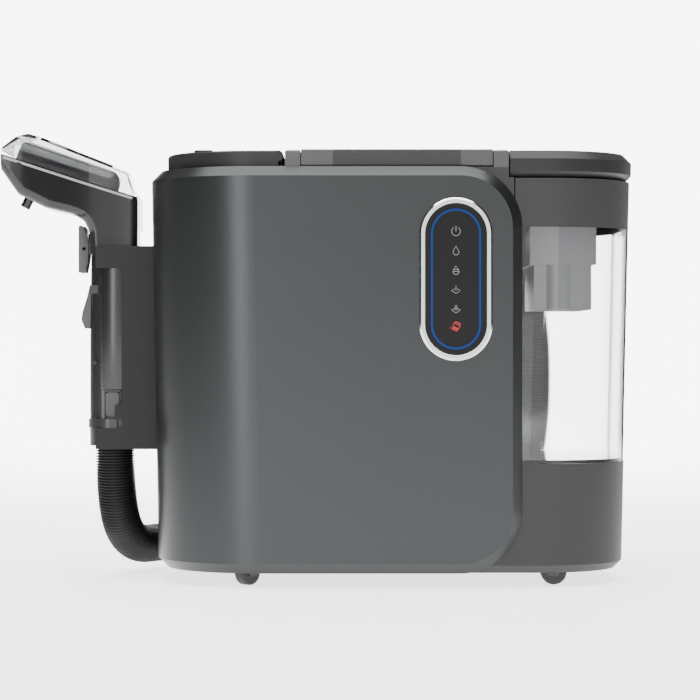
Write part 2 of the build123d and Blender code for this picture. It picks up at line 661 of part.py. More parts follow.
def motor():
    """The suction motor's hollow can and its rubber mount."""
    base = SHELF_Z + WALL
    mount = pipe(MOTOR_RADIUS, (MOTOR_X, 0, base), (MOTOR_X, 0, base + MOTOR_MOUNT), MOTOR_RADIUS - 12)
    low = base + MOTOR_MOUNT
    can = rod(MOTOR_RADIUS, (MOTOR_X, 0, low), (MOTOR_X, 0, low + MOTOR_HEIGHT))
    can = fillet(can.edges().sort_by(Axis.Z)[-1:], 6)
    can -= rod(
        MOTOR_RADIUS - MOTOR_WALL, (MOTOR_X, 0, low + MOTOR_WALL),
        (MOTOR_X, 0, low + MOTOR_HEIGHT - MOTOR_WALL),
    )
    stator = pipe(38, (MOTOR_X, 0, low + MOTOR_WALL), (MOTOR_X, 0, low + 70), 24)
    plate = pipe(
        MOTOR_RADIUS - MOTOR_WALL, (MOTOR_X, 0, low + 70), (MOTOR_X, 0, low + 73),
        SHAFT_RADIUS + SHAFT_CLEARANCE,
    )
    can = can + stator + plate
    can -= rod(AIR_DUCT_RADIUS, (MOTOR_X, 0, low + MOTOR_HEIGHT - 10), (MOTOR_X, 0, low + MOTOR_HEIGHT + 10))
    can -= rod(SHAFT_RADIUS + SHAFT_CLEARANCE, (MOTOR_X, 0, low), (MOTOR_X, 0, low + MOTOR_WALL + 1))
    shaft_top = low + 96
    fan = rod(SHAFT_RADIUS, (MOTOR_X, 0, low), (MOTOR_X, 0, shaft_top))
    fan += rod(22, (MOTOR_X, 0, low + 8), (MOTOR_X, 0, low + 64))
    fan += rod(FAN_RADIUS, (MOTOR_X, 0, low + 78), (MOTOR_X, 0, low + 80))
    blade = block(8, FAN_RADIUS, -0.8, 0.8, 0, FAN_HEIGHT)
    for number in range(9):
        fan += Pos(MOTOR_X, 0, low + 79) * Rot(0, 0, number * 40) * blade
    fan += rod(9, (MOTOR_X, 0, low + 79), (MOTOR_X, 0, shaft_top))
    return can, mount, fan


def ducts():
    """The dirty air's duct from the hose port and the clean air's duct to the motor."""
    port_x = LOOP_X - LOOP_RADIUS
    dirt = tube([(port_x, 78, PORT_Z), (port_x, DIRT_DUCT_Y, PORT_Z), (port_x, DIRT_DUCT_Y, DUCT_Z),
                 (BAY_RIGHT - WALL, DIRT_DUCT_Y, DUCT_Z)], DIRT_DUCT_RADIUS, DUCT_WALL, 19)
    top = SHELF_Z + WALL + MOTOR_MOUNT + MOTOR_HEIGHT
    air = tube(
        [(BAY_RIGHT - WALL, 0, DUCT_Z), (MOTOR_X, 0, DUCT_Z), (MOTOR_X, 0, top)], AIR_DUCT_RADIUS,
        DUCT_WALL, 22,
    )
    return dirt, air


def tank_seal():
    """Rubber rings between the ducts and the tank's collar."""
    rings = []
    for y, radius in ((DIRT_DUCT_Y, DIRT_DUCT_RADIUS), (0, AIR_DUCT_RADIUS)):
        rings.append(
            pipe(radius, (BAY_RIGHT - WALL, y, DUCT_Z), (BAY_RIGHT + 0.6, y, DUCT_Z), radius - DUCT_WALL),
        )
    return together(rings)


def water_pump():
    floor = BODY_BOTTOM + PAN_FLOOR
    pump = rod(PUMP_RADIUS, (PUMP_X[0], PUMP_Y, PUMP_Z), (PUMP_X[1], PUMP_Y, PUMP_Z))
    foot = block(PUMP_X[0] + 6, PUMP_X[1] - 6, PUMP_Y - 12, PUMP_Y + 12, floor, PUMP_Z)
    return pump + foot


def water_tubes():
    """Intake from the tank's seat, and the feed to the hose port."""
    seat_low = LEFT_BAY_FLOOR - 10
    down = [(FILLER_X, 0, seat_low), (FILLER_X, 0, PUMP_Z), (-85, 0, PUMP_Z), (-85, PUMP_Y, PUMP_Z)]
    intake = tube(down + [(PUMP_X[0], PUMP_Y, PUMP_Z)], WATER_TUBE_RADIUS, 1.0, 6)
    port_x = LOOP_X - LOOP_RADIUS
    across = [(PUMP_X[1], PUMP_Y, PUMP_Z), (0, PUMP_Y, PUMP_Z), (0, 86, PUMP_Z), (port_x, 86, PUMP_Z)]
    feed = tube(across + [(port_x, 86, PORT_Z - PORT_NECK - 2)], WATER_TUBE_RADIUS, 1.0, 8)
    return intake + feed


def power_board():
    """The mains board on the near wall, with its larger components."""
    wall_y = -HALF_DEPTH + WALL
    board = block(-40, 70, wall_y + 6, wall_y + 7.6, 124, 204)
    for x in (-32, 62):
        for z in (132, 196):
            board += rod(3, (x, wall_y, z), (x, wall_y + 7, z))
    board += block(-25, 0, wall_y + 7, wall_y + 25, 135, 160)
    for x in (15, 32, 49):
        board += rod(6, (x, wall_y + 7, 185), (x, wall_y + 22, 185))
    return board


def hose_port():
    """The swept connector that the hose plugs into from above."""
    x = LOOP_X - LOOP_RADIUS
    socket = rod(PORT_SOCKET, (x, HOSE_Y, PORT_Z), (x, HOSE_Y, PORT_TOP))
    socket += Pos(x, HOSE_Y, PORT_Z) * Sphere(PORT_SOCKET)
    socket += rod(PORT_NECK, (x, HOSE_Y, PORT_Z), (x, 78, PORT_Z))
    socket -= rod(DIRT_DUCT_RADIUS - DUCT_WALL, (x, HOSE_Y, PORT_Z), (x, HOSE_Y, PORT_TOP + 1))
    socket -= rod(DIRT_DUCT_RADIUS - DUCT_WALL, (x, HOSE_Y, PORT_Z), (x, 77, PORT_Z))
    spigot = rod(WATER_TUBE_RADIUS, (x, 86, PORT_Z - PORT_NECK - 2), (x, 86, PORT_Z - PORT_NECK + 2))
    return socket + spigot


def hose_hooks():
    """The saddle that the hose is hung over and the clip that holds its lower run."""
    radius = LOOP_RADIUS - HOSE_RADIUS - HOSE_CLEARANCE
    face = HALF_DEPTH + PANEL
    lip_y = HOSE_Y + HOSE_RADIUS + HOSE_CLEARANCE
    centre = Pos(LOOP_X, LOOP_TOP_Z)
    wedge = polygon((0, 0), (-200, 200), (200, 200))
    shelf = (centre * Circle(radius) - centre * Circle(radius - HOOK_WALL)) & (centre * wedge)
    lip = (centre * Circle(radius + 9) - centre * Circle(radius - HOOK_WALL)) & (centre * wedge)
    saddle = side_slab(shelf, face, lip_y + 1) + side_slab(lip, lip_y + 1, lip_y + 1 + HOOK_WALL)
    grip = HOSE_RADIUS + CLIP_CLEARANCE
    clip = rod(grip + HOOK_WALL, (CLIP_X - 9, HOSE_Y, HOSE_LOW), (CLIP_X + 9, HOSE_Y, HOSE_LOW))
    clip -= rod(grip, (CLIP_X - 10, HOSE_Y, HOSE_LOW), (CLIP_X + 10, HOSE_Y, HOSE_LOW))
    clip -= block(CLIP_X - 20, CLIP_X + 20, HOSE_Y + 4, 200, HOSE_LOW - 6, 200)
    foot = block(CLIP_X - 9, CLIP_X + 9, face, HOSE_Y - grip - 1, HOSE_LOW - 9, HOSE_LOW + 9)
    return saddle + clip + foot


def cord_gland():
    """The gland for the mains lead, empty."""
    back = HALF_DEPTH + PANEL
    start = back + 2 - GLAND_LENGTH
    gland = rod(GLAND_RADIUS, (GLAND_X, start, GLAND_Z), (GLAND_X, back, GLAND_Z))
    gland += rod(GLAND_RADIUS + 3, (GLAND_X, back, GLAND_Z), (GLAND_X, back + 2, GLAND_Z))
    return gland - rod(GLAND_BORE, (GLAND_X, 60, GLAND_Z), (GLAND_X, 140, GLAND_Z))


def exhaust_grille():
    """The louvred outlet for the motor's air."""
    left, right, low, high = GRILLE
    back = HALF_DEPTH + PANEL
    gap = 0.2
    grille = block(left + gap, right - gap, back - 6, back + 1, low + gap, high - gap)
    count = 8
    pitch = (high - low - 8) / count
    for number in range(count):
        z = low + 4 + (number + 0.5) * pitch
        grille -= block(left + 5, right - 5, 60, 140, z - 2, z + 2)
    return grille


def tool_cradle():
    """The bracket on the end cover: two plates whose arms carry the hand tool."""
    outline = polygon(
        (CRADLE_LEFT, CRADLE_BOTTOM), (-170, CRADLE_BOTTOM), (-170, CRADLE_TOP), (CRADLE_LEFT, CRADLE_TOP),
    )
    mouth = polygon(
        (CRADLE_LEFT - 5, CRADLE_LOWER_ARM), (CRADLE_EDGE, CRADLE_LOWER_ARM),
        (CRADLE_EDGE, CRADLE_UPPER_ARM), (CRADLE_LEFT - 5, CRADLE_UPPER_ARM),
    )
    mouth = fillet(mouth.vertices().sort_by(Axis.X)[-2:], CRADLE_MOUTH_ROUND)
    nib = polygon(
        (CRADLE_EDGE - 5.6, 126.4), (CRADLE_EDGE + 1, 126.4), (CRADLE_EDGE + 1, 139.2),
        (CRADLE_EDGE - 5.6, 137.2),
    )
    plate = outline - mouth + nib
    outer = CRADLE_INNER + CRADLE_PLATE
    cradle = side_slab(plate, -outer, -CRADLE_INNER) + side_slab(plate, CRADLE_INNER, outer)
    cradle += block(-195, -170, -outer, outer, CRADLE_BOTTOM, CRADLE_TOP)
    return cradle - form(-PANEL, 0, 400)


def hose_cuff():
    """The hose's end fitting and the flange that rests on the cradle."""
    cuff = rod(CUFF_RADIUS, (TOOL_X, 0, CUFF_BOTTOM), (TOOL_X, 0, CRADLE_LOWER_ARM))
    plan = RectangleRounded(2 * CUFF_RADIUS + 0.4, 2 * FLANGE_HALF_WIDTH, 18)
    cuff += extrude(Pos(TOOL_X, 0, CRADLE_LOWER_ARM) * plan, FLANGE_TOP - CRADLE_LOWER_ARM)
    for side in (-1, 1):
        edge = side * (CRADLE_INNER - 0.3)
        cuff -= block(
            CRADLE_EDGE - CRADLE_MOUTH_ROUND - 0.3, CRADLE_EDGE + 50, edge, 2 * edge, CUFF_BOTTOM,
            FLANGE_TOP + 1,
        )
    return cuff - rod(11.5, (TOOL_X, 0, CUFF_BOTTOM - 1), (TOOL_X, 0, FLANGE_TOP + 1))


def grip_outline(inset):
    outline = polygon(
        (GRIP_FRONT, FLANGE_TOP + 0.2), (GRIP_BACK, FLANGE_TOP + 0.2), (GRIP_BACK, GRIP_TOP),
        (-238.2, GRIP_TOP), (-238.6, 240), (GRIP_FRONT, 190),
    )
    return offset(outline, -inset, kind=Kind.INTERSECTION) if inset else outline


def rounded_slab(outline, half, radius):
    """A slab across the grip with its long edges rounded."""
    slab = side_slab(outline, -half, half)
    return fillet(
        [e for e in slab.edges() if e.bounding_box().size.Z > 15 and abs((e @ 0.5).Y) > half - 0.1], radius
    )


def grip_shells():
    """The two halves of the grip, with the bosses for the trigger's trunnions."""
    body = rounded_slab(grip_outline(0), GRIP_HALF, GRIP_ROUND)
    body -= rounded_slab(grip_outline(GRIP_WALL), GRIP_HALF - GRIP_WALL, GRIP_ROUND - GRIP_WALL)
    body -= block(TOOL_X - 11, TOOL_X + 11, -11, 11, 100, 400)
    body -= rod(SPRAY_TUBE + 0.3, (-230, 0, 200), (-230, 0, 400))
    x, z = TRIGGER_PIVOT
    inner = TRIGGER_HALF + 0.5
    for side in (-1, 1):
        body += block(x - 2.6, x + 4, side * inner, side * (GRIP_HALF - 1.2), z - 3.4, z + 3.4)
    mouth = (z - 34.5, z + 5.2)
    body -= block(-260, -230, -inner, inner, mouth[0], mouth[1])
    body -= rod(TRIGGER_PIN + SHAFT_CLEARANCE, (x, -TRIGGER_HALF - 3.5, z), (x, TRIGGER_HALF + 3.5, z))
    x0, x1, z0, z1 = BUTTON
    gap = BUTTON_CLEARANCE
    body -= block(x0 - gap, x1 + gap, -GRIP_HALF - 5, -5, z0 - gap, z1 + gap)
    for sx, sz in tool_screw_places():
        body -= rod(TOOL_SCREW, (sx, -50, sz), (sx, 50, sz))
    near = body & block(-300, -150, -50, -0.05, 0, 400)
    far = body & block(-300, -150, 0.05, 50, 0, 400)
    return near, far


def tool_screw_places():
    return [(-207.5, 150.0), (-207.5, 235.0), (-234.5, 170.8)]


def tool_screws():
    """The screws that close the grip."""
    places = tool_screw_places()
    return together([rod(TOOL_SCREW, (x, 0.4 - GRIP_HALF, z), (x, GRIP_HALF - 1, z)) for x, z in places])


def trigger():
    """The trigger: a bowed plate on two trunnions near its top."""
    x, z = TRIGGER_PIVOT
    outline = polygon(
        (-239.6, z + 3), (-241.6, z - 6), (-245.4, z - 18), (-246.2, z - 24.2), (-243.4, z - 31.0),
        (-238.0, z - 31.4), (-237.2, z - 24), (-238.6, z - 12), (-234.6, z + 1), (-236, z + 3),
    )
    lever = side_slab(outline, -TRIGGER_HALF, TRIGGER_HALF)
    lever += rod(3.0, (x, -TRIGGER_HALF, z), (x, TRIGGER_HALF, z))
    return lever + rod(TRIGGER_PIN, (x, -TRIGGER_HALF - 2.8, z), (x, TRIGGER_HALF + 2.8, z))


def valve():
    """The spray valve's body and the plunger that the trigger pushes."""
    body = block(-232.4, -222.5, -5, 5, PLUNGER_Z - 5, PLUNGER_Z + 6)
    body += block(-228, -225, -GRIP_HALF + GRIP_WALL, GRIP_HALF - GRIP_WALL, PLUNGER_Z - 4, PLUNGER_Z + 4)
    body -= rod(PLUNGER_RADIUS + SHAFT_CLEARANCE, (-233, 0, PLUNGER_Z), (-224.5, 0, PLUNGER_Z))
    plunger = rod(PLUNGER_RADIUS, (-237.0, 0, PLUNGER_Z), (-228.4, 0, PLUNGER_Z))
    return body, plunger


def release_button():
    x0, x1, z0, z1 = BUTTON
    button = block(x0, x1, -GRIP_HALF - 0.6, -GRIP_HALF + 5, z0, z1)
    return fillet(button.edges().filter_by(Axis.Y), 2.0)


def fan_plan(inset):
    """The head from above: as wide as the neck, then spreading to the mouth."""
    neck, mouth = NECK_HALF - inset, MOUTH_HALF - inset
    plan = polygon(
        (-190, -neck), (FAN_START, -neck), (FAN_END, -mouth), (-NOZZLE_REACH - 5, -mouth),
        (-NOZZLE_REACH - 5, mouth), (FAN_END, mouth), (FAN_START, neck), (-190, neck),
    )
    plan = fillet([v for v in plan.vertices() if abs(v.X - FAN_START) < 1], FAN_NECK_ROUND)
    return fillet([v for v in plan.vertices() if abs(v.X - FAN_END) < 1], FAN_MOUTH_ROUND)


def head_part(outline, inset):
    """A side outline given the head's plan form."""
    return side_slab(outline, -60, 60) & extrude(Pos(0, 0, 200) * fan_plan(inset), 200, dir=(0, 0, 1))


def rim_height(x):
    """The height of the head's straight rim."""
    share = (RIM_BACK[0] - x) / (RIM_BACK[0] - RIM_MOUTH[0])
    return RIM_BACK[1] + share * (RIM_MOUTH[1] - RIM_BACK[1])


def softened(solid, radius):
    """A head part with its long edges below the rim rounded."""
    chosen = []
    for edge in solid.edges():
        middle, size = edge @ 0.5, edge.bounding_box().size
        over = middle.Z - rim_height(middle.X)
        beside = abs(middle.Y) > 8 and middle.X > 0.5 - NOZZLE_REACH
        along = size.X > 0.3 or (middle.X > HEAD_BACK - 3 and size.Z > 15)
        if beside and along and over < -3 and middle.Z > GRIP_TOP + 1:
            chosen.append(edge)
    return fillet(chosen, radius)


def underside(outline):
    """A head outline with the corners of its throat curve rounded."""
    low = [v for v in outline.vertices() if v.X < -238.5 + SHELL and GRIP_TOP + 5 < v.Y < 308]
    return fillet(low, THROAT_ROUND)


def head_shell():
    """The dark head of the hand tool: a neck and a spreading trough."""
    outline = polygon(
        (HEAD_BACK, GRIP_TOP + 0.2), (HEAD_BACK, 300.0), RIM_BACK, RIM_MOUTH, (-NOZZLE_REACH, 322),
        (-292, 303), (-272, 293), (-252, 288.5), (-243, 283.5), (-239, 275), (-238, GRIP_TOP + 0.2),
    )
    hollow = polygon(
        (-203.2, 250), (-203.2, 302), (-204, 310), (-NOZZLE_REACH - 3, 341), (-NOZZLE_REACH - 3, 326.5),
        (-290.5, 306.2), (-271, 295.8), (-250.5, 291.2), (-241, 285.5), (-236.6, 275), (-235.6, 250),
    )
    shell = softened(head_part(underside(outline), 0), HEAD_ROUND)
    shell -= softened(head_part(underside(hollow), SHELL), HEAD_ROUND - SHELL)
    x, z = LATCH_PIVOT
    lug = polygon((-237.5, z - 5), (-237.5, z + 8), (x, z + 3.6), (x - 3, z), (x, z - 3.6))
    inner = LATCH_HALF + 0.5
    for side in (-1, 1):
        ear = side_slab(lug, side * inner, side * (inner + 3.2)) if side > 0 else side_slab(
            lug, -inner - 3.2, -inner,
        )
        shell += ear
    shell -= rod(TRIGGER_PIN + SHAFT_CLEARANCE, (x, -20, z), (x, 20, z)) & block(-250, -239, -20, 20, 0, 400)
    return shell - rod(SPRAY_TUBE + 0.1, (-281, 0, 314), (-290, 0, 298))


def nozzle_window():
    """The clear cover over the head's trough."""
    outer = polygon(
        RIM_BACK, (-208, 322.6), (-272.3, 347.2), (-284, 350.2),
        (-293, 347.5), (-NOZZLE_REACH, 338.4), RIM_MOUTH,
    )
    hollow = polygon(
        (-203.5, 295), (-204.2, 303.4), (-209.8, 320.7), (-272.9, 344.9), (-283.8, 347.6), (-292, 345.2),
        (-NOZZLE_REACH - 3, 335.2), (-NOZZLE_REACH - 3, 325),
    )
    return head_part(outer, 0) - head_part(hollow, SHELL)


def suction_throat():
    """The grey air channel inside the clear cover."""
    outer = polygon(
        (-214.5, 307.2), (-219, 316.2), (-226, 322.4), (-272, 340.0),
        (-283, 342.6), (-290, 340.8), (-299, 334.0),
    )
    inner = polygon(
        (-220, 304), (-222.4, 314.6), (-227.4, 319.4), (-272.6, 337.2),
        (-283, 339.7), (-289, 338.2), (-300, 331.0),
    )
    return head_part(outer, SHELL + 3) - head_part(inner, SHELL + 5)


def nozzle_latch():
    """The rocking lever that locks the head to the grip."""
    x, z = LATCH_PIVOT
    outline = polygon(
        (-248, z - 12), (-246, z - 18.5), (-243.6, z - 18.8), (-243.0, z - 8), (-240.6, z), (-241.8, z + 8),
        (-241.4, z + 15), (-243.6, z + 18), (-247.4, z + 12), (-248, z),
    )
    lever = side_slab(outline, -LATCH_HALF, LATCH_HALF)
    return lever + rod(TRIGGER_PIN, (x, -LATCH_HALF - 3.0, z), (x, LATCH_HALF + 3.0, z))


def spray_line():
    """The water tube through the head, and the spray tip at its end."""
    start = (-230, 0, PLUNGER_Z + 6)
    line = tube([start, (-230, 0, 284), (-262, 0, 302), (-284, 0, 308.6)], SPRAY_TUBE, 0.8, 8)
    tip = rod(SPRAY_TUBE, (-284.2, 0, 309.6), (-291.5, 0, 295.5)) + rod(
        4.0, (-288, 0, 302.2), (-292.0, 0, 294.5),
    )
    tip -= head_keepout()
    tip -= rod(SPRAY_TUBE + 0.05, (-262, 0, 302), (-284.6, 0, 308.78))
    return line, tip


def head_keepout():
    """The shell's floor, so that the tip seats against it."""
    outline = polygon((-300, 320), (-292, 303), (-272, 293), (-272, 296.5), (-290.5, 306.5))
    return side_slab(outline, -60, 60) - rod(SPRAY_TUBE, (-281, 0, 314), (-290, 0, 298))


def wheel_centre(x, y, heading):
    turn = radians(heading)
    return (x + WHEEL_TRAIL * cos(turn), y + WHEEL_TRAIL * sin(turn), WHEEL_RADIUS)


def caster(x, y, heading):
    """A swivel fork with its axle, and its wheel."""
    half = WHEEL_WIDTH / 2
    outer = half + FORK_GAP + FORK_PLATE
    crown_z = 2 * WHEEL_RADIUS + 0.6
    cheek = polygon(
        (-5, crown_z + 2), (WHEEL_TRAIL + 6, crown_z + 2), (WHEEL_TRAIL + 3.4, 7.2),
        (WHEEL_TRAIL - 3.4, 7.2), (-9, 16),
    )
    fork = side_slab(cheek, -outer, outer)
    fork -= side_slab(
        polygon((-30, 0), (30, 0), (30, crown_z), (-30, crown_z)), -half - FORK_GAP, half + FORK_GAP,
    )
    fork += rod(STEM, (0, 0, crown_z), (0, 0, STEM_TOP))
    axle = rod(AXLE, (WHEEL_TRAIL, -outer, WHEEL_RADIUS), (WHEEL_TRAIL, outer, WHEEL_RADIUS))
    wheel = rod(WHEEL_RADIUS, (WHEEL_TRAIL, -half, WHEEL_RADIUS), (WHEEL_TRAIL, half, WHEEL_RADIUS))
    wheel = fillet(wheel.edges().filter_by(GeomType.CIRCLE), 1.5)
    wheel -= rod(
        AXLE + SHAFT_CLEARANCE, (WHEEL_TRAIL, -outer, WHEEL_RADIUS), (WHEEL_TRAIL, outer, WHEEL_RADIUS),
    )
    place = Pos(x, y, 0) * Rot(0, 0, heading)
    return place * (fork + axle), place * wheel


# The hose's route: from the cuff down, round the left end to the far side, and once round the loop
HOSE_ROUTE = [
    (-219.6, 0, 104.8),
    (-219.6, 0, 56),
    (-210, 34, 22),
    (-186, 84, 21.5),
    (-138, 122, 21.5),
    (-84, 126, 21.5),
    (-8, 126, 20.9),
    (69.5, 126, 21.5),
    (124, 126, 76),
    (124, 126, 238.5),
    (69.5, 126, 293),
    (-7.5, 126, 293),
    (-62, 126, 238.5),
    (-62, 126, 162),
]
# Corners that lie round the saddle and the loop's lower turn, counted from the cuff
ROUND_CORNERS = range(7, 13)


def suction_hose():
    """The hose as one plain tube along straight runs joined by arcs."""
    points = [Vector(p) for p in HOSE_ROUTE]
    radii = []
    for number, (before, at, after) in enumerate(zip(points, points[1:], points[2:]), start=1):
        turn = radians((at - before).get_angle(after - at))
        shorter = min((at - before).length, (after - at).length)
        share = 0.45 if number not in ROUND_CORNERS else 0.495
        radii.append(share * shorter / tan(turn / 2))
    path = FilletPolyline(*points, radius=radii)
    print("hose radii", [round(r) for r in radii], "length", round(path.length, 1))
    body = sweep(Plane(origin=path @ 0, z_dir=path % 0) * Circle(HOSE_RADIUS), path=path)
    print("hose volume ratio", round(body.volume / (pi * HOSE_RADIUS**2 * path.length), 4))
    return body


def build():
    """Every node's name with its solid, in body coordinates."""
    nodes = {"base_pan": base_pan(), "main_housing": main_housing(), "top_deck": top_deck()}
    nodes["near_side_panel"], nodes["far_side_panel"], nodes["end_cover"] = side_panels()
    pod = ("control_bezel", "control_lens", "light_guide", "control_board")
    nodes.update(zip(pod, control_pod()))
    nodes["carry_handle"] = carry_handle()
    nodes["handle_sleeve"] = handle_sleeve()
    nodes["clear_tank"], nodes["tank_collar"] = recovery_tank()
    nodes["tank_lid"] = tank_lid()
    nodes["lid_seal"] = lid_seal()
    nodes["separator"] = separator()
    nodes["tank_float"] = tank_float()
    nodes["clean_tank"] = clean_tank()
    nodes["filler_cap"] = filler_cap()
    nodes["outlet_valve"] = outlet_valve()
    nodes["valve_seat"] = valve_seat()
    nodes["motor_can"], nodes["motor_mount"], nodes["impeller"] = motor()
    nodes["suction_duct"], nodes["air_duct"] = ducts()
    nodes["tank_seal"] = tank_seal()
    nodes["water_pump"] = water_pump()
    nodes["water_tubes"] = water_tubes()
    nodes["power_board"] = power_board()
    nodes["hose_port"] = hose_port()
    nodes["hose_hooks"] = hose_hooks()
    nodes["cord_gland"] = cord_gland()
    nodes["exhaust_grille"] = exhaust_grille()
    nodes["housing_screws"] = housing_screws()
    nodes["tool_cradle"] = tool_cradle()
    nodes["hose_cuff"] = hose_cuff()
    nodes["grip_near"], nodes["grip_far"] = grip_shells()
    nodes["tool_screws"] = tool_screws()
    nodes["trigger"] = trigger()
    nodes["valve_body"], nodes["valve_plunger"] = valve()
    nodes["release_button"] = release_button()
    nodes["head_shell"] = head_shell()
    nodes["nozzle_window"] = nozzle_window()
    nodes["suction_throat"] = suction_throat()
    nodes["nozzle_latch"] = nozzle_latch()
    nodes["spray_tube"], nodes["spray_tip"] = spray_line()
    for name, (x, y, heading) in CASTERS.items():
        nodes["caster_fork_" + name], nodes["caster_wheel_" + name] = caster(x, y, heading)
    nodes["suction_hose"] = suction_hose()
    return nodes


os.makedirs("parts", exist_ok=True)
for node_name, solid in build().items():
    export_step(Pos(-ORIGIN_X, -ORIGIN_Y, 0) * solid, "parts/" + node_name + ".step")
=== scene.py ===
import math
from math import cos, pi, radians, sin

import bpy
import bmesh
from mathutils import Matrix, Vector


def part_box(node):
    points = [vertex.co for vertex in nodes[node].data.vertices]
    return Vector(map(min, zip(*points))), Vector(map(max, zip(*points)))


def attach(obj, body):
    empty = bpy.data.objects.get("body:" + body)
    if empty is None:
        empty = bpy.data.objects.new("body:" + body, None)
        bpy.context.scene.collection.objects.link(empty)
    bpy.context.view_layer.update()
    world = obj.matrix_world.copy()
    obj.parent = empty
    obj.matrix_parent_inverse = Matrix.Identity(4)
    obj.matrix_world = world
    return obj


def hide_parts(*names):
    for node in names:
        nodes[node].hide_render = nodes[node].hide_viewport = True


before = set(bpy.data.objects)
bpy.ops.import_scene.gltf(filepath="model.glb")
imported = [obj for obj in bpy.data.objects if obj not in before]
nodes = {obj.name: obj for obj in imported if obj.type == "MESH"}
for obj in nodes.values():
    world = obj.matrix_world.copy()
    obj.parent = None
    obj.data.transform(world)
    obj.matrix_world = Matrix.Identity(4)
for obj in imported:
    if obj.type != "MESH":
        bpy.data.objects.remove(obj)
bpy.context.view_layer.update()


# Camera. A long lens stands two metres in front of the machine's middle, level and a
# little above half its height, so that neither the top nor the underside shows.
pod_low, pod_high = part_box("control_lens")
front_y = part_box("near_side_panel")[0].y
camera_aside = 0.0803
camera_distance = 1.895
camera_height = 0.1808
camera_data = bpy.data.cameras.new("camera")
camera_data.lens = 128.6
camera_data.sensor_width = 36
camera_data.clip_end = 50
camera = bpy.data.objects.new("camera", camera_data)
camera.location = ((pod_low.x + pod_high.x) / 2 - camera_aside, front_y - camera_distance, camera_height)
camera.rotation_euler = (radians(90), 0, 0)
bpy.context.scene.collection.objects.link(camera)
bpy.context.scene.camera = camera


# Suction hose. A black corrugated plastic hose, blown in one piece with close rings; one
# end is pushed into the hand tool's cuff and the other into the port on the far side.
hose_radius = 0.0155
rib_pitch = 0.00212
rib_depth = 0.0017
hose_sides = 40
body_origin = Vector((0.0577, -0.0194, 0))
hose_route = [Vector(p) / 1000 + body_origin for p in (
    (-219.6, 0, 104.8),
    (-219.6, 0, 56),
    (-210, 34, 22),
    (-186, 84, 21.5),
    (-138, 122, 21.5),
    (-84, 126, 21.5),
    (-8, 126, 20.9),
    (69.5, 126, 21.5),
    (124, 126, 76),
    (124, 126, 238.5),
    (69.5, 126, 293),
    (-7.5, 126, 293),
    (-62, 126, 238.5),
    (-62, 126, 162),
)]


def spline_points(points, resolution):
    """Points along the NURBS line that takes the route as its control points."""
    curve = bpy.data.curves.new("route", "CURVE")
    curve.dimensions = "3D"
    spline = curve.splines.new("NURBS")
    spline.points.add(len(points) - 1)
    for place, point in zip(spline.points, points):
        place.co = (*point, 1)
    spline.order_u = 3
    spline.use_endpoint_u = True
    spline.resolution_u = resolution
    carrier = bpy.data.objects.new("route", curve)
    bpy.context.scene.collection.objects.link(carrier)
    bpy.context.view_layer.update()
    mesh = bpy.data.meshes.new_from_object(carrier)
    line = [v.co.copy() for v in mesh.vertices]
    bpy.data.objects.remove(carrier)
    return line


def evenly(line, step):
    """The line walked in equal steps."""
    run = [0.0]
    for a, b in zip(line, line[1:]):
        run.append(run[-1] + (b - a).length)
    count = round(run[-1] / step)
    places, index = [], 0
    for number in range(count + 1):
        target = run[-1] * number / count
        while index < len(run) - 2 and run[index + 1] < target:
            index += 1
        share = (target - run[index]) / (run[index + 1] - run[index])
        places.append(line[index].lerp(line[index + 1], share))
    return places


def tube_mesh(name, places, radii, sides):
    """Rings of points along a line, joined into a closed tube."""
    mesh = bmesh.new()
    before, rings = None, []
    last = len(places) - 1
    turns = [2 * pi * k / sides for k in range(sides)]
    for number, place in enumerate(places):
        ahead = (places[min(number + 1, last)] - places[max(number - 1, 0)]).normalized()
        if before is None:
            across = ahead.orthogonal().normalized()
        else:
            across = (before - ahead * before.dot(ahead)).normalized()
        before = across
        up = ahead.cross(across)
        radius = radii[number]
        spokes = [across * cos(turn) + up * sin(turn) for turn in turns]
        rings.append([mesh.verts.new(place + spoke * radius) for spoke in spokes])
    for low, high in zip(rings, rings[1:]):
        for k in range(sides):
            mesh.faces.new((low[k], low[(k + 1) % sides], high[(k + 1) % sides], high[k]))
    mesh.faces.new(list(reversed(rings[0])))
    mesh.faces.new(rings[-1])
    data = bpy.data.meshes.new(name)
    mesh.to_mesh(data)
    piece = bpy.data.objects.new(name, data)
    bpy.context.scene.collection.objects.link(piece)
    data.shade_smooth()
    return piece


hose_line = evenly(spline_points(hose_route, 24), rib_pitch / 4)
rib = (0.0, 0.0, 1.0, 1.0)
hose_radii = [hose_radius - rib_depth * rib[k % 4] for k in range(len(hose_line))]
hose = tube_mesh("corrugated_hose", hose_line, hose_radii, hose_sides)


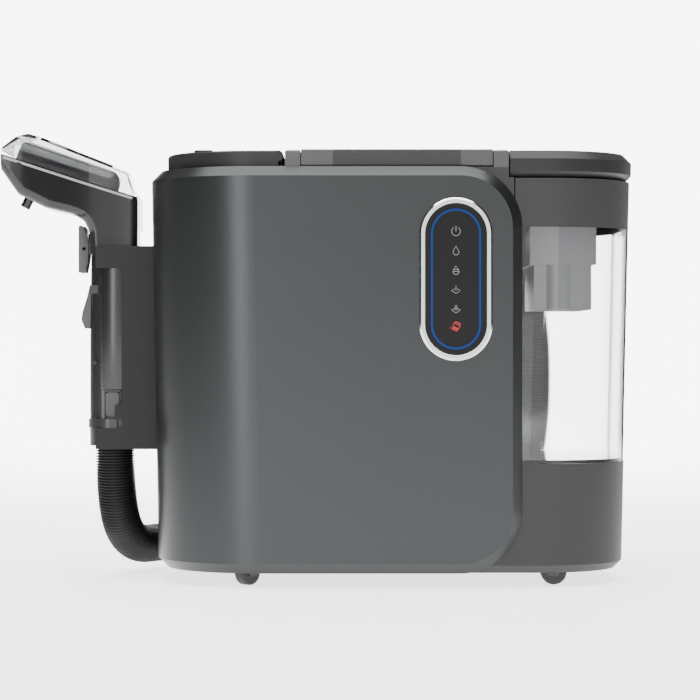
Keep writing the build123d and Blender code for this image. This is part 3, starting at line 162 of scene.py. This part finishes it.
def surface_group():
    """Fine grain, with slow shifts of tone and gloss, as every moulded part has."""
    group = bpy.data.node_groups.new("moulded surface", "ShaderNodeTree")
    for name, kind, value in (
        ("Color", "NodeSocketColor", (0.05, 0.05, 0.05, 1)),
        ("Roughness", "NodeSocketFloat", 0.5),
        ("Tone Spread", "NodeSocketFloat", 0.08),
        ("Gloss Spread", "NodeSocketFloat", 0.05),
        ("Grain Scale", "NodeSocketFloat", 1800.0),
        ("Grain Depth", "NodeSocketFloat", 0.2),
    ):
        socket = group.interface.new_socket(name, in_out="INPUT", socket_type=kind)
        socket.default_value = value
    for name, kind in (
        ("Color", "NodeSocketColor"),
        ("Roughness", "NodeSocketFloat"),
        ("Normal", "NodeSocketVector"),
    ):
        group.interface.new_socket(name, in_out="OUTPUT", socket_type=kind)
    make, link = group.nodes.new, group.links.new
    taken, given = make("NodeGroupInput"), make("NodeGroupOutput")
    place = make("ShaderNodeTexCoord")
    slow = make("ShaderNodeTexNoise")
    slow.inputs["Scale"].default_value = 14
    slow.inputs["Detail"].default_value = 3
    grain = make("ShaderNodeTexNoise")
    grain.inputs["Detail"].default_value = 2
    bump = make("ShaderNodeBump")
    bump.inputs["Distance"].default_value = 0.0002
    centre = make("ShaderNodeMath")
    centre.operation = "SUBTRACT"
    centre.inputs[1].default_value = 0.5
    tone = make("ShaderNodeMath")
    tone.operation = "MULTIPLY_ADD"
    tone.inputs[2].default_value = 1.0
    gloss = make("ShaderNodeMath")
    gloss.operation = "MULTIPLY_ADD"
    tint = make("ShaderNodeVectorMath")
    tint.operation = "SCALE"
    link(place.outputs["Object"], slow.inputs["Vector"])
    link(place.outputs["Object"], grain.inputs["Vector"])
    link(taken.outputs["Grain Scale"], grain.inputs["Scale"])
    link(grain.outputs["Fac"], bump.inputs["Height"])
    link(taken.outputs["Grain Depth"], bump.inputs["Strength"])
    link(slow.outputs["Fac"], centre.inputs[0])
    link(centre.outputs[0], tone.inputs[0])
    link(taken.outputs["Tone Spread"], tone.inputs[1])
    link(centre.outputs[0], gloss.inputs[0])
    link(taken.outputs["Gloss Spread"], gloss.inputs[1])
    link(taken.outputs["Roughness"], gloss.inputs[2])
    link(taken.outputs["Color"], tint.inputs[0])
    link(tone.outputs[0], tint.inputs["Scale"])
    link(tint.outputs[0], given.inputs["Color"])
    link(gloss.outputs[0], given.inputs["Roughness"])
    link(bump.outputs[0], given.inputs["Normal"])
    return group


surface = surface_group()


def finish(name, color, roughness, tone=0.08, gloss=0.05, grain=1800.0, depth=0.2, **sockets):
    """A material with the shared surface, and its own constants on the shader."""
    material = bpy.data.materials.new(name)
    material.use_nodes = True
    shader = material.node_tree.nodes["Principled BSDF"]
    node = material.node_tree.nodes.new("ShaderNodeGroup")
    node.node_tree = surface
    node.inputs["Color"].default_value = (*color, 1)
    node.inputs["Roughness"].default_value = roughness
    node.inputs["Tone Spread"].default_value = tone
    node.inputs["Gloss Spread"].default_value = gloss
    node.inputs["Grain Scale"].default_value = grain
    node.inputs["Grain Depth"].default_value = depth
    link = material.node_tree.links.new
    link(node.outputs["Color"], shader.inputs["Base Color"])
    link(node.outputs["Roughness"], shader.inputs["Roughness"])
    link(node.outputs["Normal"], shader.inputs["Normal"])
    for socket, value in sockets.items():
        shader.inputs[socket.replace("_", " ")].default_value = value
    return material


def dress(material, *names):
    """Gives CAD nodes or pieces their material."""
    for name in names:
        piece = nodes[name] if isinstance(name, str) else name
        piece.data.materials.clear()
        piece.data.materials.append(material)


hose_black = finish("hose plastic", (0.008, 0.008, 0.0085), 0.45, grain=900, depth=0.15,
                    Specular_IOR_Level=0.2)
dress(hose_black, hose)
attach(hose, "chassis")
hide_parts("suction_hose")


# Side panels. Gloss injection-moulded covers in metallic graphite, clipped to the housing,
# with a broad bevel round the border and a fine metal flake under the lacquer.
graphite = finish("graphite lacquer", (0.046, 0.048, 0.049), 0.33, tone=0.03, gloss=0.04,
                  grain=5200, depth=0.05, Metallic=0.8, Specular_IOR_Level=0.15)
dress(graphite, "near_side_panel", "far_side_panel", "end_cover")


# Housing. Fine-textured dark grey ABS; the tray, the tank's collar and foot and the fittings
# on the far side are moulded in the same plastic, and the tool's bracket in a darker matte one.
housing_grey = finish("textured grey plastic", (0.032, 0.032, 0.033), 0.5, grain=2600, depth=0.25,
                      Specular_IOR_Level=0.2)
dress(housing_grey, "main_housing", "base_pan", "tank_collar", "exhaust_grille", "hose_hooks", "hose_port")
cradle_grey = finish("matte bracket plastic", (0.018, 0.018, 0.0185), 0.62, grain=2600, depth=0.25,
                     Specular_IOR_Level=0.15)
dress(cradle_grey, "tool_cradle")


# Deck, lid, cap and handle. Near-black ABS with a fine spark texture, and rubber-soft
# over-moulding on the handle's sleeve and the seals.
deck_black = finish("deck plastic", (0.05, 0.05, 0.051), 0.45, grain=2200, depth=0.2)
dress(deck_black, "top_deck", "carry_handle")
lid_black = finish("lid plastic", (0.015, 0.015, 0.016), 0.46, grain=2200, depth=0.2,
                   Specular_IOR_Level=0.3)
dress(lid_black, "tank_lid", "filler_cap")
soft_black = finish("soft rubber", (0.024, 0.024, 0.025), 0.7, grain=1500, depth=0.3)
dress(soft_black, "handle_sleeve", "lid_seal", "tank_seal", "motor_mount", "cord_gland")


# Control pod. A chrome-plated bezel, a gloss black touch panel set into it and a blue
# light guide let in flush just inside the panel's edge.
chrome = finish("bright chrome", (0.93, 0.93, 0.94), 0.12, tone=0.02, gloss=0.03, depth=0.0, Metallic=1.0)
dress(chrome, "control_bezel")
glass_black = finish("touch panel", (0.007, 0.007, 0.0075), 0.35, tone=0.03, gloss=0.02, depth=0.0,
                     Specular_IOR_Level=0.15)
dress(glass_black, "control_lens")
ring_blue = finish("light ring", (0.003, 0.02, 0.1), 0.4, depth=0.0, Specular_IOR_Level=0.1)
glow_shader = ring_blue.node_tree.nodes["Principled BSDF"]
glow_shader.inputs["Emission Color"].default_value = (0.004, 0.07, 0.3, 1)
glow_shader.inputs["Emission Strength"].default_value = 0.3
dress(ring_blue, "light_guide")


# Control symbols. Pale grey pictograms printed on the touch panel: thin raised films of
# ink, each traced as a ribbon, with a red bucket for the full tank at the foot.
pod_x = (pod_low.x + pod_high.x) / 2
ink_y = pod_low.y - 0.00012
ink_width = 0.00032
ink_thickness = 0.00022
bold_ink = 0.0009
symbol_pitch = 0.0148
first_symbol = 0.0362
drop_size = 0.0036


def ribbon(name, strokes, width):
    """Strokes on the touch panel, each drawn as a flat band that keeps its width."""
    verts, faces = [], []
    for stroke in strokes:
        closed = stroke[0] == stroke[-1]
        points = [Vector(p) for p in (stroke[:-1] if closed else stroke)]
        count = len(points)
        first = len(verts)
        for number, point in enumerate(points):
            back = points[(number - 1) % count] if closed or number else point
            ahead = points[(number + 1) % count] if closed or number < count - 1 else point
            run = (ahead - back).normalized()
            side = Vector((-run.y, run.x)) * width / 2
            for offset in (side, -side):
                verts.append((point.x + offset.x, ink_y, point.y + offset.y))
        for number in range(count if closed else count - 1):
            low = first + 2 * number
            high = first + 2 * ((number + 1) % count)
            faces.append((low, high, high + 1, low + 1))
    data = bpy.data.meshes.new(name)
    data.from_pydata(verts, [], faces)
    piece = bpy.data.objects.new(name, data)
    bpy.context.scene.collection.objects.link(piece)
    bpy.ops.object.select_all(action="DESELECT")
    bpy.context.view_layer.objects.active = piece
    piece.select_set(True)
    bpy.ops.object.mode_set(mode="EDIT")
    bpy.ops.mesh.select_all(action="SELECT")
    bpy.ops.mesh.extrude_region_move(TRANSFORM_OT_translate={"value": (0, ink_thickness, 0)})
    bpy.ops.mesh.select_all(action="SELECT")
    bpy.ops.mesh.normals_make_consistent(inside=False)
    bpy.ops.object.mode_set(mode="OBJECT")
    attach(piece, "chassis")
    return piece


def arc(x, z, radius, start, end, steps=20):
    """Points on a circle from one angle to another, in degrees."""
    return [(x + radius * cos(radians(start + (end - start) * k / steps)),
             z + radius * sin(radians(start + (end - start) * k / steps))) for k in range(steps + 1)]


def drop(x, z, size):
    """The outline of a drop of water."""
    bulb = arc(x, z - 0.25 * size, 0.62 * size, 150, 390)
    return bulb + [(x, z + size), bulb[0]]


def symbol_z(row):
    """The height of a symbol's middle, counted down the panel."""
    return (pod_low.z + pod_high.z) / 2 + first_symbol - symbol_pitch * row


power_z, drop_z, spray_z = symbol_z(0), symbol_z(1), symbol_z(2)
brush_z, suction_z, bucket_z = symbol_z(3), symbol_z(4), symbol_z(4.9)
power_mark = ribbon("symbol_power", [
    arc(pod_x, power_z, 0.0033, 125, 415),
    [(pod_x, power_z), (pod_x, power_z + 0.0041)],
], ink_width)
drop_mark = ribbon("symbol_drop", [drop(pod_x, drop_z, drop_size)], ink_width)
spray_mark = ribbon("symbol_drop_level", [
    drop(pod_x, spray_z, drop_size),
    [(pod_x - 0.0019, spray_z - 0.0008), (pod_x + 0.0019, spray_z - 0.0008)],
    [(pod_x - 0.0014, spray_z + 0.0007), (pod_x + 0.0014, spray_z + 0.0007)],
], ink_width)
floor_plate = [(-0.0009, 0.0008), (-0.0034, -0.0004), (-0.0016, -0.0017), (0, -0.0026), (0.0016, -0.0017),
               (0.0034, -0.0004), (0.0009, 0.0008)]


def floor_symbol(name, z, stems):
    """A patch of floor seen aslant, with the stems that stand on it."""
    plate = [(pod_x + x, z + up) for x, up in floor_plate]
    posts = [[(pod_x + x, z - 0.0006), (pod_x + x, z + 0.0032)] for x in stems]
    return ribbon(name, [plate] + posts, ink_width)


brush_mark = floor_symbol("symbol_rinse", brush_z, [0.0])
suction_mark = floor_symbol("symbol_suction", suction_z, [-0.0006, 0.0006])
lean = radians(-24)


def leaning(points):
    """Points of the bucket turned about its middle."""
    return [(pod_x + x * cos(lean) - z * sin(lean), bucket_z + x * sin(lean) + z * cos(lean))
            for x, z in points]


bucket_mark = ribbon("symbol_bucket", [
    leaning([(-0.0026, 0.0022), (0.0026, 0.0022), (0.0018, -0.0026), (-0.0018, -0.0026), (-0.0026, 0.0022)]),
    leaning([(-0.0026, 0.0022), (-0.0016, 0.0036), (0.0016, 0.0036), (0.0026, 0.0022)]),
    leaning([(-0.0018, -0.0006), (0.0018, -0.0006)]),
    leaning([(-0.0016, -0.0016), (0.0016, -0.0016)]),
    leaning([(-0.0038, -0.0022), (-0.0031, -0.0022)]),
], bold_ink)
ink_grey = finish("printed ink", (0.26, 0.26, 0.265), 0.5, tone=0.05, grain=4000, depth=0.05)
ink_red = finish("red ink", (0.32, 0.006, 0.008), 0.5, tone=0.05, grain=4000, depth=0.05)
dress(ink_grey, power_mark, drop_mark, spray_mark, brush_mark, suction_mark)
dress(ink_red, bucket_mark)


# Tanks. The recovery tank is blown clear so that the dirty water shows, the cover of the
# hand tool is moulded in the same plastic, and the clean tank behind is lightly frosted.
clear = finish("clear plastic", (0.9, 0.905, 0.91), 0.04, tone=0.01, gloss=0.02, depth=0.0,
               Transmission_Weight=1.0, IOR=1.45)
dress(clear, "clear_tank")
cover_clear = finish("tinted clear plastic", (0.74, 0.75, 0.76), 0.05, tone=0.02, gloss=0.02, depth=0.0,
                     Transmission_Weight=1.0, IOR=1.45)
dress(cover_clear, "nozzle_window")
frosted = finish("frosted plastic", (0.85, 0.87, 0.9), 0.3, tone=0.02, depth=0.05,
                 Transmission_Weight=0.7, IOR=1.3)
dress(frosted, "clean_tank")
mid_grey = finish("grey moulding", (0.3, 0.3, 0.305), 0.32, grain=2200, depth=0.1)
dress(mid_grey, "separator", "water_pump", "valve_body")
white = finish("natural plastic", (0.62, 0.62, 0.6), 0.45)
dress(white, "tank_float", "outlet_valve", "valve_seat", "impeller", "valve_plunger")


# Hand tool. Gloss black ABS halves screwed together, with a grey gloss air channel under
# the clear cover; the trigger and the latch are satin grey.
gloss_black = finish("gloss black plastic", (0.012, 0.012, 0.013), 0.26, grain=2400, depth=0.06,
                     Specular_IOR_Level=0.35, Coat_Weight=0.15, Coat_Roughness=0.12)
dress(gloss_black, "grip_near", "grip_far", "head_shell", "hose_cuff", "spray_tip")
satin = finish("satin grey plastic", (0.032, 0.032, 0.033), 0.38, grain=2400, depth=0.12)
dress(satin, "trigger", "nozzle_latch", "release_button")
channel_grey = finish("gloss grey channel", (0.08, 0.08, 0.082), 0.22, tone=0.05, grain=2200, depth=0.05,
                      Coat_Weight=0.5)
tubing = finish("soft tubing", (0.2, 0.21, 0.2), 0.4)
dress(tubing, "water_tubes", "spray_tube", "suction_duct", "air_duct")


# Air channel. The dome under the clear cover that leads the dirty air into the hose: gloss
# grey ABS, round at the back, spreading and open at the mouth, clipped into the head.
head_low, head_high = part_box("head_shell")
rim_back = Vector((-0.1439, 0, 0.3024))
rim_mouth = Vector((-0.2473, 0, 0.3342))
rim_lean = math.atan2(rim_mouth.z - rim_back.z, rim_back.x - rim_mouth.x)
head_y = (head_low.y + head_high.y) / 2


def pick(piece, mode, test):
    """Selects the elements of a piece whose places pass a test, and enters edit mode."""
    if bpy.context.mode != "OBJECT":
        bpy.ops.object.mode_set(mode="OBJECT")
    bpy.ops.object.select_all(action="DESELECT")
    bpy.context.view_layer.objects.active = piece
    piece.select_set(True)
    bpy.ops.object.mode_set(mode="EDIT")
    bpy.ops.mesh.select_mode(type=mode)
    bpy.ops.mesh.select_all(action="DESELECT")
    bpy.ops.object.mode_set(mode="OBJECT")
    places = [v.co for v in piece.data.vertices]
    parts = {"VERT": piece.data.vertices, "EDGE": piece.data.edges, "FACE": piece.data.polygons}[mode]
    for part in parts:
        members = [part.co] if mode == "VERT" else [places[v] for v in part.vertices]
        part.select = all(test(place) for place in members)
    bpy.ops.object.mode_set(mode="EDIT")


def settle(piece, name, body, material, smooth=40):
    """Leaves edit mode, puts the place into the mesh and hands the piece to its body."""
    bpy.ops.object.mode_set(mode="OBJECT")
    bpy.ops.object.select_all(action="DESELECT")
    bpy.context.view_layer.objects.active = piece
    piece.select_set(True)
    bpy.ops.object.transform_apply(location=True, rotation=True, scale=True)
    bpy.ops.object.mode_set(mode="EDIT")
    bpy.ops.mesh.select_all(action="SELECT")
    bpy.ops.mesh.normals_make_consistent(inside=False)
    bpy.ops.object.mode_set(mode="OBJECT")
    bpy.ops.object.shade_smooth_by_angle(angle=radians(smooth))
    piece.name = name
    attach(piece, body)
    dress(material, piece)
    return piece


bpy.ops.object.select_all(action="DESELECT")
channel_length = 0.083
bpy.ops.mesh.primitive_cylinder_add(vertices=72, radius=0.011, depth=channel_length, rotation=(0, pi / 2, 0))
channel = bpy.context.object
bpy.ops.object.transform_apply(rotation=True)
channel_end = channel_length / 2
pick(channel, "VERT", lambda place: place.x < 0)
bpy.ops.transform.resize(value=(1, 2.1, 1.25))
pick(channel, "EDGE", lambda place: place.x > channel_end - 0.001)
bpy.ops.mesh.bevel(offset=0.0095, segments=14, affect="EDGES")
pick(channel, "FACE", lambda place: place.x < 0.001 - channel_end)
bpy.ops.mesh.inset(thickness=0.0018)
bpy.ops.mesh.extrude_region_move(TRANSFORM_OT_translate={"value": (0.05, 0, 0)})
bpy.ops.transform.resize(value=(1, 0.6, 0.8))
bpy.ops.object.mode_set(mode="OBJECT")
channel.scale = (1, 1, 1.22)
channel.rotation_euler = (0, rim_lean, 0)
middle = rim_back.lerp(rim_mouth, 0.53)
channel.location = (middle.x, head_y, middle.z + 0.0012)
settle(channel, "air_channel", "chassis", channel_grey, 60)
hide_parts("suction_throat")


# Head trim. A satin grey rim band moulded into each side of the head under the cover, an
# oval screw recess, and the clear spring tongue that holds the cover at the back. A thin
# black band of painted shade runs along the clear cover's top and back edges.
band_steps = 12


def skin_y(shell, x, z, side):
    """Where the side wall of a shell stands at a place seen from the side."""
    inside = shell.matrix_world.inverted()
    start = inside @ Vector((x, head_y + 0.2 * side, z))
    found, spot, _, _ = shell.ray_cast(start, Vector((0, -side, 0)), distance=0.3)
    return (shell.matrix_world @ spot).y if found else None


def side_band(name, shell, path, side, width, material):
    """A raised band that runs along a path on a side wall, whichever way the wall spreads."""
    verts, faces = [], []
    for back, ahead in zip(path, path[1:]):
        run = (ahead - back).normalized()
        across = Vector((-run.z, 0, run.x)) * width / 2
        first = len(verts)
        for k in range(band_steps + 1):
            place = back.lerp(ahead, k / band_steps)
            wall = skin_y(nodes[shell], place.x, place.z, side)
            if wall is not None:
                for offset in (across, -across):
                    verts.append((place.x + offset.x, wall + 0.0003 * side, place.z + offset.z))
        for k in range(first, len(verts) - 2, 2):
            faces.append((k, k + 2, k + 3, k + 1))
    data = bpy.data.meshes.new(name)
    data.from_pydata(verts, [], faces)
    piece = bpy.data.objects.new(name, data)
    bpy.context.scene.collection.objects.link(piece)
    pick(piece, "FACE", lambda place: True)
    bpy.ops.mesh.extrude_region_move(TRANSFORM_OT_translate={"value": (0, -0.0008 * side, 0)})
    return settle(piece, name, "chassis", material)


rim_drop = Vector((0, 0, 0.0022))
rim_path = [rim_back.lerp(rim_mouth, share) - rim_drop for share in (0.03, 0.98)]
# Painted shade: the path of a thin black band, in the soft rubber material, that draws the dark edge along
# the clear cover's top and back.
cover_edge_shade_path = [Vector((-0.2135, 0, 0.3446)), Vector((-0.1512, 0, 0.3208)), Vector((-0.1451, 0, 0.3042))]
for side, word in ((-1, "near"), (1, "far")):
    side_band("rim_band_" + word, "head_shell", rim_path, side, 0.0018, mid_grey)
    # Painted shade along the clear cover's edges, drawn as a black band on each side.
    side_band("painted_cover_edge_shade_" + word, "nozzle_window", cover_edge_shade_path, side, 0.0008, soft_black)
recess_x, recess_z = -0.1868, 0.2886
recess_y = skin_y(nodes["head_shell"], recess_x, recess_z, -1)
tongue_half = 0.0117
bpy.ops.object.select_all(action="DESELECT")
bpy.ops.mesh.primitive_torus_add(major_radius=0.0034, minor_radius=0.0007,
                                 major_segments=40, minor_segments=10, rotation=(pi / 2, 0, 0))
recess = bpy.context.object
bpy.ops.object.transform_apply(rotation=True)
recess.scale = (1.25, 0.6, 0.8)
recess.rotation_euler = (0, radians(20), radians(-20))
recess.location = (recess_x, recess_y, recess_z)
settle(recess, "screw_recess_rim", "chassis", satin, 60)
bpy.ops.object.select_all(action="DESELECT")
bpy.ops.mesh.primitive_cube_add(size=1)
tongue = bpy.context.object
tongue.scale = (0.0012, 0.013, 0.0235)
bpy.ops.object.transform_apply(scale=True)
pick(tongue, "FACE", lambda place: place.z > tongue_half)
bpy.ops.mesh.extrude_region_move(TRANSFORM_OT_translate={"value": (-0.0034, 0, 0.0032)})
pick(tongue, "FACE", lambda place: place.z < -tongue_half)
bpy.ops.mesh.extrude_region_move(TRANSFORM_OT_translate={"value": (0.0012, 0, -0.0022)})
bpy.ops.mesh.select_all(action="SELECT")
bpy.ops.mesh.bevel(offset=0.0003, segments=2, affect="EDGES")
bpy.ops.object.mode_set(mode="OBJECT")
tongue.location = (-0.1408, head_y, 0.2888)
settle(tongue, "cover_tongue", "chassis", cover_clear, 50)


# Grip pads. A crowned gloss pad is moulded along each side of the grip, so that the hand
# meets a round form; it runs from above the release button to the foot of the head.
pad_centre = Vector((-0.1589, 0, 0.2017))
pad_end = 0.052
pad_round = 0.0012
for side, word in ((-1, "near"), (1, "far")):
    bpy.ops.object.select_all(action="DESELECT")
    bpy.ops.mesh.primitive_cylinder_add(vertices=128, radius=0.0127, depth=0.1045)
    pad = bpy.context.object
    pick(pad, "VERT", lambda place: True)
    bpy.ops.mesh.bisect(plane_co=(0, 0, 0), plane_no=(0, side, 0), use_fill=True, clear_inner=True)
    bpy.ops.mesh.select_all(action="SELECT")
    bpy.ops.transform.resize(value=(1, 0.39, 1))
    pick(pad, "EDGE", lambda place: place.z > pad_end)
    bpy.ops.mesh.bevel(offset=pad_round, segments=4, affect="EDGES")
    pick(pad, "EDGE", lambda place: place.z < -pad_end)
    bpy.ops.mesh.bevel(offset=pad_round, segments=4, affect="EDGES")
    bpy.ops.object.mode_set(mode="OBJECT")
    pad.location = pad_centre + Vector((0, head_y + 0.0155 * side, 0))
    settle(pad, "grip_pad_" + word, "chassis", gloss_black, 40)


# Latch cheeks. Two D-shaped side plates in satin grey nylon that are pressed onto the ends
# of the latch's pin, so the thumb meets a broad lever; each has a turned boss at the pin.
latch_pin = Vector((-0.1859, head_y, 0.2614))
cheek_outline = [
    (-0.0044, -0.0188), (-0.0035, -0.0192), (0.0012, -0.0188), (0.0026, -0.012),
    (0.0038, -0.004), (0.0038, 0.004), (0.0026, 0.011), (0.0004, 0.0165),
    (-0.0018, 0.0186), (-0.0038, 0.0184), (-0.0044, 0.017),
]
for side, word in ((-1, "near"), (1, "far")):
    data = bpy.data.meshes.new("cheek")
    data.from_pydata([(x, 0, z) for x, z in cheek_outline], [], [list(range(len(cheek_outline)))])
    cheek = bpy.data.objects.new("cheek", data)
    bpy.context.scene.collection.objects.link(cheek)
    pick(cheek, "FACE", lambda place: True)
    bpy.ops.mesh.extrude_region_move(TRANSFORM_OT_translate={"value": (0, 0.0012 * side, 0)})
    bpy.ops.mesh.select_all(action="SELECT")
    bpy.ops.mesh.normals_make_consistent(inside=False)
    pick(cheek, "EDGE", lambda place: abs(place.y) > 0.001)
    bpy.ops.mesh.bevel(offset=0.0004, segments=3, affect="EDGES")
    bpy.ops.object.mode_set(mode="OBJECT")
    cheek.location = latch_pin + Vector((0, 0.0099 * side, 0))
    settle(cheek, "latch_cheek_" + word, "latch", satin, 40)
    bpy.ops.object.select_all(action="DESELECT")
    bpy.ops.mesh.primitive_cylinder_add(vertices=32, radius=0.0014, depth=0.0024, rotation=(pi / 2, 0, 0))
    boss = bpy.context.object
    bpy.ops.object.transform_apply(rotation=True)
    pick(boss, "FACE", lambda place: place.y * side > 0.0011)
    bpy.ops.mesh.inset(thickness=0.0004)
    bpy.ops.transform.translate(value=(0, -0.0004 * side, 0))
    bpy.ops.object.mode_set(mode="OBJECT")
    boss.location = latch_pin + Vector((0, 0.0103 * side, 0))
    settle(boss, "latch_boss_" + word, "latch", satin, 40)


# Metal parts and boards. Zinc-plated screws, the motor's drawn alloy can and green boards
# stand inside the housing; the hand tool's screws are blackened.
steel = finish("plated steel", (0.55, 0.55, 0.56), 0.3, Metallic=1.0)
dress(steel, "housing_screws")
black_steel = finish("blackened steel", (0.012, 0.012, 0.012), 0.45, Metallic=0.4)
dress(black_steel, "tool_screws")
alloy = finish("cast alloy", (0.5, 0.5, 0.51), 0.4, Metallic=1.0)
dress(alloy, "motor_can")
laminate = finish("board laminate", (0.02, 0.09, 0.04), 0.4)
dress(laminate, "control_board", "power_board")


# Casters. Black nylon forks under their hoods, each carrying a wheel in soft dark rubber;
# every fork turns on its own stem in the base.
fork_black = finish("caster nylon", (0.03, 0.03, 0.031), 0.4, grain=2400, depth=0.15)
for corner in ("front_left", "front_right", "rear_left", "rear_right"):
    dress(fork_black, "caster_fork_" + corner)
    dress(soft_black, "caster_wheel_" + corner)


# Studio. A white sweep under and behind the machine, a broad soft front light, a tall soft
# box to the left that draws the highlight, one overhead, and a black flag at each end.
bpy.ops.object.select_all(action="DESELECT")
bpy.ops.mesh.primitive_plane_add(size=1, location=(0, 0, 0))
sweep = bpy.context.object
sweep.name = "sweep"
sweep.scale = (14, 10, 1)
bpy.ops.object.transform_apply(scale=True)
bpy.ops.object.mode_set(mode="EDIT")
bpy.ops.mesh.select_all(action="DESELECT")
bpy.ops.mesh.select_mode(type="EDGE")
bpy.ops.object.mode_set(mode="OBJECT")
for edge in sweep.data.edges:
    edge.select = all(sweep.data.vertices[v].co.y > 4 for v in edge.vertices)
bpy.ops.object.mode_set(mode="EDIT")
bpy.ops.mesh.extrude_region_move(TRANSFORM_OT_translate={"value": (0, 0, 7)})
bpy.ops.object.mode_set(mode="OBJECT")
bend = sweep.modifiers.new("curve", "BEVEL")
bend.width = 2.5
bend.segments = 24
bpy.ops.object.modifier_apply(modifier="curve")
sweep.data.shade_smooth()
paper = bpy.data.materials.new("paper")
paper.use_nodes = True
paper_inputs = paper.node_tree.nodes["Principled BSDF"].inputs
paper_inputs["Base Color"].default_value = (0.9, 0.9, 0.9, 1)
paper_inputs["Roughness"].default_value = 0.9
paper_inputs["Emission Color"].default_value = (1, 1, 1, 1)
make_node, join = paper.node_tree.nodes.new, paper.node_tree.links.new
on_sweep = make_node("ShaderNodeTexCoord")
apart = make_node("ShaderNodeSeparateXYZ")
aside = make_node("ShaderNodeMath")
aside.operation = "ABSOLUTE"
glow = make_node("ShaderNodeMath")
glow.operation = "MULTIPLY"


def ramp(start, end, first, last):
    """A smooth change from one value to another along the sweep."""
    node = make_node("ShaderNodeMapRange")
    node.interpolation_type = "SMOOTHSTEP"
    for socket, value in (("From Min", start), ("From Max", end), ("To Min", first), ("To Max", last)):
        node.inputs[socket].default_value = value
    return node


brighter_behind = ramp(-0.3, 2.5, 2.2, 6.0)
darker_aside = ramp(1.0, 1.8, 1.0, 0.04)
join(on_sweep.outputs["Object"], apart.inputs[0])
join(apart.outputs["Y"], brighter_behind.inputs["Value"])
join(apart.outputs["X"], aside.inputs[0])
join(aside.outputs[0], darker_aside.inputs["Value"])
join(brighter_behind.outputs[0], glow.inputs[0])
join(darker_aside.outputs[0], glow.inputs[1])
join(glow.outputs[0], paper_inputs["Emission Strength"])
sweep.data.materials.append(paper)


def softbox(name, place, aim, width, height, power):
    """A rectangular area light that looks at a point."""
    data = bpy.data.lights.new(name, "AREA")
    data.shape = "RECTANGLE"
    data.size = width
    data.size_y = height
    data.energy = power
    light = bpy.data.objects.new(name, data)
    light.location = place
    light.rotation_euler = (Vector(aim) - Vector(place)).to_track_quat("-Z", "Y").to_euler()
    bpy.context.scene.collection.objects.link(light)
    return light


softbox("key", (-0.8, -2.3, 0.5), (0, 0, 0.17), 0.4, 2.4, 32)
softbox("front", (0.3, -3.6, 0.5), (0, 0, 0.17), 2.4, 2.2, 24)
softbox("top", (0, -0.2, 2.2), (0, 0, 0.17), 2.4, 2.0, 105)
softbox("backdrop_light", (0, 1.6, 2.6), (0, 4.5, 1.0), 3, 2, 160)


def black_flag(name, near, far):
    """A black board beside the backdrop that keeps its light off one end of the machine."""
    bpy.ops.object.select_all(action="DESELECT")
    bpy.ops.mesh.primitive_cube_add(size=1)
    flag = bpy.context.object
    flag.name = name
    run = Vector(far) - Vector(near)
    flag.scale = (run.length, 0.01, 2.4)
    flag.rotation_euler = (0, 0, math.atan2(run.y, run.x))
    flag.location = (Vector(near) + Vector(far)) / 2 + Vector((0, 0, 1.2))
    flag.visible_camera = False
    bpy.ops.object.transform_apply(location=True, rotation=True, scale=True)
    dress(flag_black, flag)


flag_black = finish("flag cloth", (0.004, 0.004, 0.004), 0.9, grain=600, depth=0.1, Specular_IOR_Level=0.0)
camera_x = camera.location.x
black_flag("flag_left", (camera_x - 0.42, 0.32, 0), (camera_x - 0.75, 2.6, 0))
black_flag("flag_right", (camera_x + 0.42, 0.32, 0), (camera_x + 0.75, 2.6, 0))
world = bpy.data.worlds.new("studio")
world.use_nodes = True
world.node_tree.nodes["Background"].inputs["Color"].default_value = (1, 1, 1, 1)
world.node_tree.nodes["Background"].inputs["Strength"].default_value = 0.03
bpy.context.scene.world = world
